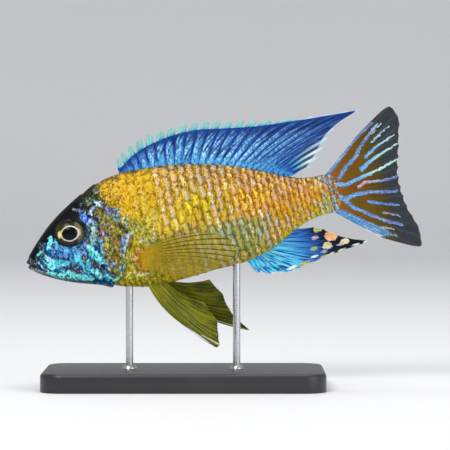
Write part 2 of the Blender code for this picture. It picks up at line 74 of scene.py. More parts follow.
def smooth(table):
    # a smooth curve through the (place, value) pairs
    places = [pair[0] for pair in table]
    values = [pair[1] for pair in table]
    last = len(table) - 1
    rises = [(values[i + 1] - values[i]) / (places[i + 1] - places[i]) for i in range(last)]
    slopes = [rises[0]]
    for i in range(1, last):
        before = places[i] - places[i - 1]
        after = places[i + 1] - places[i]
        slopes.append((rises[i - 1] * after + rises[i] * before) / (before + after))
    slopes.append(rises[-1])

    def value(place):
        if place <= places[0]:
            return values[0]
        if place >= places[-1]:
            return values[-1]
        i = bisect.bisect_right(places, place) - 1
        span = places[i + 1] - places[i]
        t = (place - places[i]) / span
        return (
            (2 * t**3 - 3 * t**2 + 1) * values[i]
            + (t**3 - 2 * t**2 + t) * span * slopes[i]
            + (3 * t**2 - 2 * t**3) * values[i + 1]
            + (t**3 - t**2) * span * slopes[i + 1]
        )

    return value


def rounded(table):
    # for an outline that starts at the blunt snout
    inner = smooth([(math.sqrt(pair[0]), pair[1]) for pair in table])
    return lambda x: inner(math.sqrt(max(x, 0.0)))


def ease(low, high, value):
    t = min(max((value - low) / (high - low), 0.0), 1.0)
    return t * t * (3 - 2 * t)


def hump(distance, width):
    # 1 at no distance, and nearly 0 from two widths on
    return math.exp(-((distance / width) ** 2))


def unevenness(x, y, z):
    return noise.noise(Vector((x, y, z)))


backLine = rounded(bodyShape["back"])
bellyLine = rounded(bodyShape["belly"])
halfWidth = rounded(bodyShape["halfWidth"])
middleLine = smooth(bodyShape["middle"])

# the four curves, sampled finely so that a section is quick to read
sectionStep = 0.25
sections = []
for i in range(int(bodyShape["length"] / sectionStep) + 2):
    x = i * sectionStep
    sections.append((backLine(x), bellyLine(x), halfWidth(x), middleLine(x)))


def sectionAt(x):
    spot = min(max(x, 0.0) / sectionStep, len(sections) - 1.001)
    i = int(spot)
    if i < 4:
        return backLine(x), bellyLine(x), halfWidth(x), middleLine(x)
    share = spot - i
    return tuple(a + (b - a) * share for a, b in zip(sections[i], sections[i + 1]))


def bodyPoint(x, turn, grow=0.0):
    # turn runs from 0 on the back, over the right side, to half a turn on the belly
    back, belly, half, middle = sectionAt(x)
    y = (half + grow) * math.sin(turn)
    if math.cos(turn) > 0:
        return Vector((x, y, middle + (back + grow - middle) * math.cos(turn)))
    return Vector((x, y, middle + (middle - belly + grow) * math.cos(turn)))


def bodySide(x, z):
    back, belly, half, middle = sectionAt(x)
    reach = max(back - middle if z > middle else middle - belly, 0.01)
    return half * math.sqrt(max(0.0, 1 - min(abs(z - middle) / reach, 1.0) ** 2))


def place(point):
    x, y, z = point
    away = max(0.0, (x - fishPose["swayFrom"]) / fishPose["swayLength"])
    y += fishPose["tailSway"] * away**2
    along = x * math.cos(fishPose["pitch"]) - z * math.sin(fishPose["pitch"])
    up = x * math.sin(fishPose["pitch"]) + z * math.cos(fishPose["pitch"])
    return Vector((fishPose["snoutX"] + along, y, fishPose["snoutZ"] + up)) * mm


def finishMesh(name, shape, material):
    shape.normal_update()
    bmesh.ops.recalc_face_normals(shape, faces=shape.faces)
    mesh = bpy.data.meshes.new(name)
    shape.to_mesh(mesh)
    shape.free()
    mesh.shade_smooth()
    mesh.materials.append(material)
    piece = bpy.data.objects.new(name, mesh)
    bpy.context.scene.collection.objects.link(piece)
    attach(piece, "root")
    return piece


# Colours, as they look on a screen, from 0 to 255
palette = {
    "slate": (18, 23, 27),
    "napeOlive": (50, 54, 24),
    "gold": (240, 190, 6),
    "mustard": (204, 176, 26),
    "flank": (188, 156, 18),
    "olive": (128, 128, 12),
    "oliveDark": (70, 74, 14),
    "orange": (204, 130, 12),
    "stalk": (196, 138, 10),
    "backEdge": (70, 62, 24),
    "lime": (172, 168, 14),
    "sun": (250, 224, 60),
    "bellyTan": (158, 128, 66),
    "sage": (104, 130, 92),
    "scaleEdge": (92, 68, 8),
    "mint": (112, 230, 230),
    "cyan": (64, 192, 226),
    "frost": (150, 192, 186),
    "turquoise": (36, 172, 208),
    "teal": (4, 62, 80),
    "deepBlue": (8, 90, 166),
    "navy": (8, 24, 64),
    "royal": (26, 78, 178),
    "sky": (86, 174, 226),
    "violet": (100, 116, 182),
    "tailBlue": (72, 142, 200),
    "rust": (126, 72, 0),
    "peach": (238, 168, 88),
    "finYellow": (160, 132, 22),
    "pelvicOlive": (56, 67, 0),
    "lilac": (184, 158, 184),
    "paleBlue": (172, 204, 226),
    "plum": (50, 42, 58),
    "brown": (126, 74, 18),
    "cream": (232, 216, 160),
    "white": (232, 238, 236),
    "smoke": (27, 33, 37),
    "black": (6, 6, 8),
}


def tint(name, shade=1.0):
    # a palette colour in the linear light that shaders use
    linear = []
    for level in palette[name]:
        level = level / 255
        linear.append((level / 12.92 if level < 0.04 else ((level + 0.055) / 1.055) ** 2.4) * shade)
    return (*linear, 1.0)


def asColour(colour, shade=1.0):
    # from a palette name, a (name, shade) pair or a grey level; anything else is a colour already
    if isinstance(colour, str):
        return tint(colour, shade)
    if isinstance(colour, float):
        return (colour, colour, colour, 1.0)
    if isinstance(colour, tuple) and isinstance(colour[0], str):
        return tint(*colour)
    return colour


def blended(share, first, second):
    return tuple(a + (b - a) * share for a, b in zip(asColour(first), asColour(second)))


class Value:
    # the output of a shader node, which can be reckoned with, masked, and painted over
    def __init__(self, tree, socket):
        self.tree = tree
        self.socket = socket

    def math(self, operation, other=0.0):
        return node(self.tree, "ShaderNodeMath", {0: self, 1: other}, operation=operation)

    def __add__(self, other):
        return self.math("ADD", other)

    def __sub__(self, other):
        return self.math("SUBTRACT", other)

    def __mul__(self, other):
        return self.math("MULTIPLY", other)

    def __abs__(self):
        return self.math("ABSOLUTE")

    def mask(self, low, high):
        # 0 at the low limit and 1 at the high one, which may be the smaller of the two
        feeds = {0: self, 1: low, 2: high}
        return node(self.tree, "ShaderNodeMapRange", feeds, interpolation_type="SMOOTHSTEP")

    def between(self, first, second):
        # the colour at this share of the way from the first to the second
        feeds = {0: self, 6: asColour(first), 7: asColour(second)}
        return node(self.tree, "ShaderNodeMix", feeds, 2, data_type="RGBA")

    def lay(self, share, colour, shade=1.0):
        # this colour with a share of another one over it
        feeds = {0: share, 6: self, 7: asColour(colour, shade)}
        return node(self.tree, "ShaderNodeMix", feeds, 2, data_type="RGBA")

    def brighter(self, factor):
        feeds = {0: 1.0, 6: self, 7: asColour(factor)}
        return node(self.tree, "ShaderNodeMix", feeds, 2, data_type="RGBA", blend_type="MULTIPLY")

    def ramp(self, *stops):
        # a colour from stops of (position, colour) or (position, palette name, shade)
        made = self.tree.nodes.new("ShaderNodeValToRGB")
        points = made.color_ramp.elements
        while len(points) < len(stops):
            points.new(1.0)
        for point, (position, *colour) in zip(points, stops):
            point.position = position
            point.color = asColour(*colour)
        feed(made.inputs[0], self)
        return Value(self.tree, made.outputs[0])

    def noise(self, scale, detail=2.0, roughness=0.5, distortion=0.0):
        feeds = {"Vector": self, "Scale": scale, "Detail": detail, "Roughness": roughness,
                 "Distortion": distortion}
        return node(self.tree, "ShaderNodeTexNoise", feeds)

    def stretch(self, scale, shift=(0, 0, 0)):
        return node(self.tree, "ShaderNodeMapping", {"Vector": self, "Scale": scale, "Location": shift})

    def split(self, kind="ShaderNodeSeparateXYZ"):
        made = self.tree.nodes.new(kind)
        feed(made.inputs[0], self)
        return [Value(self.tree, output) for output in made.outputs[:3]]


def feed(socket, value):
    if isinstance(value, Value):
        value.tree.links.new(value.socket, socket)
    else:
        socket.default_value = value


def node(tree, kind, feeds, output=0, **settings):
    # adds a node, feeds its inputs, and gives one of its outputs
    made = tree.nodes.new(kind)
    for key, value in settings.items():
        setattr(made, key, value)
    for key, value in feeds.items():
        feed(made.inputs[key], value)
    return Value(tree, made.outputs[output])


def attribute(tree, name, output="Fac"):
    return node(tree, "ShaderNodeAttribute", {}, output, attribute_name=name)


def objectPlace(tree):
    return node(tree, "ShaderNodeTexCoord", {}, "Object")


def bump(height, distance, strength):
    feeds = {"Height": height, "Distance": distance * mm, "Strength": strength}
    return node(height.tree, "ShaderNodeBump", feeds)


def newGroup(name, inputs, outputs):
    tree = bpy.data.node_groups.new(name, "ShaderNodeTree")
    for way, sockets in (("INPUT", inputs), ("OUTPUT", outputs)):
        for label, kind in sockets.items():
            tree.interface.new_socket(label, in_out=way, socket_type="NodeSocket" + kind)
    start = tree.nodes.new("NodeGroupInput")
    end = tree.nodes.new("NodeGroupOutput")
    return tree, {label: Value(tree, start.outputs[label]) for label in inputs}, end.inputs


def useGroup(tree, group, **inputs):
    made = tree.nodes.new("ShaderNodeGroup")
    made.node_tree = group
    for label, value in inputs.items():
        feed(made.inputs[label], value)
    return {output.name: Value(tree, output) for output in made.outputs}


def newMaterial(name, roughness=0.4, coat=0.0, specular=0.5, metallic=0.0, coatRoughness=0.1):
    material = bpy.data.materials.new(name)
    material.use_nodes = True
    shader = material.node_tree.nodes["Principled BSDF"].inputs
    shader["Roughness"].default_value = roughness
    shader["Metallic"].default_value = metallic
    shader["Coat Weight"].default_value = coat
    shader["Coat Roughness"].default_value = coatRoughness
    shader["Specular IOR Level"].default_value = specular
    return material, material.node_tree, shader


def makePlaceGroup():
    # object coordinates turned back into the fish's own frame, in millimetres
    tree, _, end = newGroup("fishPlace", {}, {"Place": "Vector"})
    pitch, snoutX, snoutZ = fishPose["pitch"], fishPose["snoutX"], fishPose["snoutZ"]
    shiftX = -snoutX * math.cos(pitch) - snoutZ * math.sin(pitch)
    shiftZ = snoutX * math.sin(pitch) - snoutZ * math.cos(pitch)
    feeds = {"Vector": objectPlace(tree), "Scale": (1 / mm, 1 / mm, 1 / mm), "Rotation": (0, pitch, 0),
             "Location": (shiftX, 0, shiftZ)}
    feed(end["Place"], node(tree, "ShaderNodeMapping", feeds))
    return tree


def makeReliefGroup():
    # fine uneven skin, as a normal
    inputs = {"Place": "Vector", "Fineness": "Float", "Strength": "Float"}
    tree, start, end = newGroup("skinRelief", inputs, {"Normal": "Vector"})
    feed(end["Normal"], bump(start["Place"].noise(start["Fineness"], 4.0, 0.6), 0.1, start["Strength"]))
    return tree


def makeMarkingsGroup():
    # the colour of skin and scales alike, from the zones and marks that both carry as attributes
    tree, start, end = newGroup("fishMarkings", {"Place": "Vector"}, {"Color": "Color", "Marked": "Float"})
    where = start["Place"]
    along, height, _ = attribute(tree, "bodyPlace", "Vector").split()
    flank = along.ramp(
        (0.24, "gold", 0.62), (0.34, "gold", 0.78), (0.44, "gold", 0.75), (0.54, "flank"),
        (0.64, "flank", 0.9), (0.74, "orange", 0.95), (0.90, "orange", 0.9), (1.0, "stalk", 0.8),
    )
    lower = along.ramp(
        (0.28, "lime"), (0.40, "olive", 1.2), (0.56, "sage"), (0.74, "sage"), (0.82, "orange", 0.85),
        (0.92, "stalk", 0.9), (1.0, "lime"),
    )
    belly = along.ramp(
        (0.22, "lime"), (0.42, "lime", 0.9), (0.55, "bellyTan"), (0.68, "bellyTan", 0.9), (0.8, "lime"),
    )
    level = height + (where.noise(0.35, 3.0) - 0.5) * 0.5
    flank = flank.lay(level.mask(0.5, 0.2) * along.mask(0.58, 0.48), "mustard")
    colour = flank.lay(level.mask(0.0, -0.3), lower).lay(level.mask(-0.74, -0.96), belly)
    colour = colour.lay(level.mask(0.45, 0.8) * along.mask(0.46, 0.62) * 0.7, "brown", 1.3)
    upper = level.mask(0.3, 0.6) * along.mask(0.42, 0.5)
    specks = where.stretch((1.0, 1.0, 0.75)).noise(1.25, 4.0, 0.68, 0.5)
    colour = colour.lay(upper * specks.mask(0.51, 0.58), "peach", 0.9)
    colour = colour.lay(upper * specks.mask(0.46, 0.38), "brown", 0.8)
    colour = colour.lay(level.mask(0.88, 1.02), "backEdge")
    # worm-like darker lines, strongest on the shoulder and the tail stalk
    worm = where.stretch((1.2, 1.0, 0.85)).noise(0.95, 3.0, 0.6, 1.0).mask(0.5, 0.56)
    worm *= along.ramp((0.3, 0.95), (0.42, 0.85), (0.5, 0.45), (0.72, 0.35), (0.85, 0.6))
    colour = colour.lay(worm, "brown", 0.9)
    fair = where.noise(1.0, 3.0, 0.66, 0.8).mask(0.54, 0.62)
    colour = colour.lay(fair * 0.4, colour.lay(0.6, "sun"))
    # the end of the stalk takes the tail fin's colours, in flecks
    fleck = where.noise(0.9, 3.0, 0.6)
    ending = ((fleck - 0.5) * 0.14 + along).mask(0.965, 1.0)
    colour = colour.lay(ending, fleck.mask(0.5, 0.6).between(("rust", 1.1), ("sky", 0.8)))

    # the zones' soft edges are broken up into flecks
    flecks = where.noise(1.15, 4.0, 0.7) - 0.5
    zones = []
    for zone in attribute(tree, "zones", "Color").split("ShaderNodeSeparateColor"):
        nearEdge = zone.mask(0.0, 0.15) * zone.mask(1.0, 0.85)
        zones.append((flecks * nearEdge * 2.2 + zone).mask(0.4, 0.6))
    head, cheek, cover = zones
    olives = where.noise(0.75, 4.0, 0.66).mask(0.46, 0.6) * along.mask(0.17, 0.24)
    specks = where.noise(1.7, 3.0, 0.6).mask(0.6, 0.67) * along.mask(0.2, 0.28)
    crown = olives.between(("slate", 0.55), "napeOlive").lay(specks, "olive", 0.8)
    cheekColour = where.stretch((1.0, 1.0, 0.8)).noise(0.75, 4.0, 0.66, 1.0).ramp(
        (0.36, "navy", 0.5), (0.45, "teal", 0.5), (0.52, "deepBlue", 0.5), (0.59, "deepBlue"),
        (0.66, "cyan", 0.7),
    )
    cheekColour = cheekColour.lay(along.mask(0.075, 0.02) * 0.8, "teal", 0.35)
    cheekColour = cheekColour.lay(height.mask(-0.72, -0.95) * along.mask(0.3, 0.06) * 0.8, "teal", 0.9)
    # the gill cover: olive, with darker and lighter patches
    tilted = where.stretch((1.0, 1.0, 0.7))
    coverColour = tilted.noise(0.85, 4.0, 0.66, 1.0).ramp(
        (0.36, "teal", 0.4), (0.44, "oliveDark", 0.5), (0.5, "olive", 0.55), (0.56, "lime", 0.6),
        (0.6, "brown"), (0.66, "oliveDark", 0.5),
    )
    pale = tilted.stretch((1, 1, 1), (7, 3, 2)).noise(1.3, 3.0, 0.62, 0.8).mask(0.58, 0.66)
    coverColour = coverColour.lay(pale * 0.75, "lilac", 0.75)
    colour = colour.lay(head, crown.lay(cheek, cheekColour).lay(cover, coverColour))

    amount = attribute(tree, "markAmount")
    amount += (where.noise(1.5, 5.0, 0.72, 0.6) - 0.5) * 3.0 * amount.mask(0.0, 0.25)
    marked = amount.mask(0.34, 0.7)
    core = attribute(tree, "markColor", "Color")
    # pale flecks of painted highlight, a lightened copy of each mark's colour, and darker teal flecks
    flicker = tilted.noise(1.25, 4.0, 0.68)
    core = core.lay(flicker.mask(0.52, 0.62), core.brighter(1.6).lay(0.25, "white"))
    core = core.lay(flicker.mask(0.49, 0.4), core.lay(0.8, "teal", 0.45))
    colour = colour.lay(marked, core)
    # flecks of painted highlight and dark gaps all over the cheek and the gill cover
    sparkle = where.stretch((1.2, 1.0, 0.85), (5, 5, 5)).noise(1.15, 3.0, 0.66, 0.4)
    busy = cheek.math("MAXIMUM", cover).math("MAXIMUM", marked) * along.mask(0.04, 0.09) * head
    gleam = cover.between(blended(0.4, "sky", "paleBlue"), ("cream", 0.65))
    colour = colour.lay(sparkle.mask(0.575, 0.625) * busy * 0.55, gleam)
    colour = colour.lay(sparkle.mask(0.44, 0.385) * busy * 0.7, "teal", 0.25)
    feed(end["Color"], colour)
    feed(end["Marked"], marked)
    return tree


def makeRayGroup():
    # where a point lies among the fin's rays, and streaks that run along them
    inputs = {"Streaks": "Float", "Slant": "Float", "Seed": "Float"}
    outputs = dict.fromkeys(("Along", "Number", "NearRay", "Streak", "Edge", "Behind"), "Float")
    tree, start, end = newGroup("finRays", inputs, outputs)
    number, along, fromTip = attribute(tree, "finSpot", "Vector").split()
    behind = number.math("FRACT")
    across = number * start["Streaks"] + along * start["Slant"]
    streaks = node(tree, "ShaderNodeCombineXYZ", {0: across, 1: along * 2.2, 2: start["Seed"]})
    nearRay = abs(behind - 0.5).mask(0.26, 0.48)
    results = (along, number, nearRay, streaks.noise(1.0, 3.0, 0.55), fromTip, behind)
    for label, value in zip(outputs, results):
        feed(end[label], value)
    return tree


print("node groups")
placeGroup = makePlaceGroup()
reliefGroup = makeReliefGroup()
markingsGroup = makeMarkingsGroup()
rayGroup = makeRayGroup()

# Wet surfaces: roughness, clear coat, specular level, then how fine and how strong the skin's grain is
surfaces = {
    "wetSkin": (0.34, 0.06, 0.07, 3.2, 0.35),
    "scaleCoat": (0.42, 0.05, 0.12, 5.0, 0.25),
    "coverScaleCoat": (0.36, 0.08, 0.1, 5.0, 0.25),
    "dorsalWeb": (0.38, 0.06, 0.12, 4.0, 0.4),
    "analWeb": (0.38, 0.06, 0.12, 4.0, 0.4),
    "tailWeb": (0.4, 0.05, 0.1, 4.0, 0.4),
    "pectoralWeb": (0.38, 0.05, 0.1, 4.0, 0.4),
    "pelvicWeb": (0.38, 0.05, 0.1, 4.0, 0.4),
}


def wetMaterial(name):
    # (material, its node tree, the shader's inputs, the place in the fish's own frame)
    roughness, coat, specular, fineness, strength = surfaces[name]
    material, tree, shader = newMaterial(name, roughness, coat, specular)
    where = useGroup(tree, placeGroup)["Place"]
    relief = useGroup(tree, reliefGroup, Place=where, Fineness=fineness, Strength=strength)
    feed(shader["Normal"], relief["Normal"])
    return material, tree, shader, where


def makeSkinMaterial():
    material, tree, shader, where = wetMaterial("wetSkin")
    feed(shader["Base Color"], useGroup(tree, markingsGroup, Place=where)["Color"])
    feed(shader["Roughness"], where.noise(1.5, 2.0) * 0.3 + 0.25)
    return material


def makeScaleMaterial():
    # each scale: a light streak down its middle and dark edges, both broken up into fine tall strokes
    material, tree, shader, where = wetMaterial("scaleCoat")
    marks = useGroup(tree, markingsGroup, Place=where)
    ground = marks["Color"]
    lengthwise, across, _ = attribute(tree, "scaleSpot", "Vector").split()
    rimAmount = attribute(tree, "rimAmount")
    fine = where.stretch((1.7, 1.2, 0.8)).noise(1.0, 4.0, 0.68)
    strokes = where.stretch((1.7, 1.2, 0.5), (3, 0, 8)).noise(1.0, 4.0, 0.68, 0.5)
    strip = lengthwise + across * 0.06 + (fine - 0.5) * 0.5
    fromStrip = abs(strip - 0.75)
    side = abs(across)
    # the dark edges are brown above and olive low on the side
    low = attribute(tree, "bodyPlace", "Vector").split()[1].mask(0.0, -0.3)
    edge = low.between(("scaleEdge", 0.9), ("oliveDark", 0.8))
    # tall strokes over the whole scale, lighter and darker
    shade = ground.lay(0.8, edge)
    pale = ground.lay(0.45, fine.mask(0.45, 0.6).between("sun", ("peach", 1.1)))
    colour = ground.lay(strokes.mask(0.48, 0.4) * rimAmount, shade)
    colour = colour.lay(strokes.mask(0.52, 0.59) * rimAmount, pale)
    # dark between the streaks
    rim = fromStrip.mask(0.13, 0.24) * strokes.mask(0.62, 0.48)
    dark = fine.mask(0.6, 0.42).between(ground.lay(0.5, edge), shade)
    colour = colour.lay(rim * rimAmount, dark)
    # the bright streak, and the sheen in it
    lit = fromStrip.mask(0.075, 0.03) * side.mask(1.3, 0.7)
    lit *= where.noise(1.3, 4.0, 0.66).mask(0.4, 0.58) * 0.75 + 0.25
    colour = colour.lay(lit * rimAmount, ground.brighter(1.45).lay(0.35, "sun"))
    flecks = where.stretch((1.0, 1.0, 0.7), (9, 1, 4)).noise(1.4, 3.0, 0.66).mask(0.46, 0.54)
    glint = abs(strip - 0.8).mask(0.13, 0.05) * side.mask(1.3, 0.8) * flecks * attribute(tree, "glintAmount")
    colour = colour.lay(glint, attribute(tree, "glint", "Color"))
    feed(shader["Base Color"], colour.lay(marks["Marked"], ground))
    return material


def makeCoverScaleMaterial():
    # small scales of the gill cover, each in one of its own colours
    material, tree, shader, where = wetMaterial("coverScaleCoat")
    marks = useGroup(tree, markingsGroup, Place=where)
    lengthwise, across, _ = attribute(tree, "scaleSpot", "Vector").split()
    rim = lengthwise.mask(0.82, 1.0).math("MAXIMUM", abs(across).mask(0.6, 1.0))
    own = marks["Color"].lay(attribute(tree, "glintAmount") * 0.25, attribute(tree, "glint", "Color"))
    own = own.lay(rim * 0.3, "oliveDark", 0.6)
    feed(shader["Base Color"], own.lay(marks["Marked"], marks["Color"]))
    return material


skinMaterial = makeSkinMaterial()
scaleMaterial = makeScaleMaterial()
coverScaleMaterial = makeCoverScaleMaterial()

# Lines on the side of the head, as (x, z)
headLines = {
    "gill": [(25.0, 24.0), (26.2, 19.5), (28.4, 14.0), (31.6, 9.8), (34.4, 5.8), (35.3, 2.4), (34.4, -1.2),
             (32.5, -4.6), (31.0, -8.0), (29.0, -10.8), (26.0, -12.7), (23.4, -16.0)],
    "cheekEdge": [(26.0, 15.0), (24.8, 11.5), (23.7, 7.4), (23.6, 3.4), (24.4, -0.6), (24.6, -5.0),
                  (25.0, -9.2), (25.6, -13.0)],
    "mouth": [(0.0, -1.2), (3.0, -2.8), (5.6, -4.4)],
    "upperLip": [(0.2, -0.5), (2.9, -1.7), (5.3, -3.6)],
    "lowerLip": [(0.5, -2.1), (2.8, -3.5), (5.4, -4.9)],
    "maxilla": [(2.6, 1.2), (4.6, -1.4), (6.6, -4.2)],
}
eyeShape = {"x": 15.45, "z": 5.65, "depth": 4.75, "radius": 4.9, "halfDepth": 2.7,
            "orbit": (15.6, 5.65), "orbitX": 4.95, "orbitZ": 4.35}


def pathDistance(path, x, z):
    # (distance from the path, share of it that lies before the nearest place)
    best, spot = 1e9, 0.0
    for i in range(max(len(path) - 1, 1)):
        ax, az = path[i]
        bx, bz = path[min(i + 1, len(path) - 1)]
        dx, dz = bx - ax, bz - az
        t = min(max(((x - ax) * dx + (z - az) * dz) / (dx * dx + dz * dz + 1e-9), 0.0), 1.0)
        far = math.hypot(x - ax - dx * t, z - az - dz * t)
        if far < best:
            best, spot = far, (i + t) / max(len(path) - 1, 1)
    return best, spot


gillAt = smooth([(z, x) for x, z in reversed(headLines["gill"])])
cheekAt = smooth([(z, x) for x, z in reversed(headLines["cheekEdge"])])

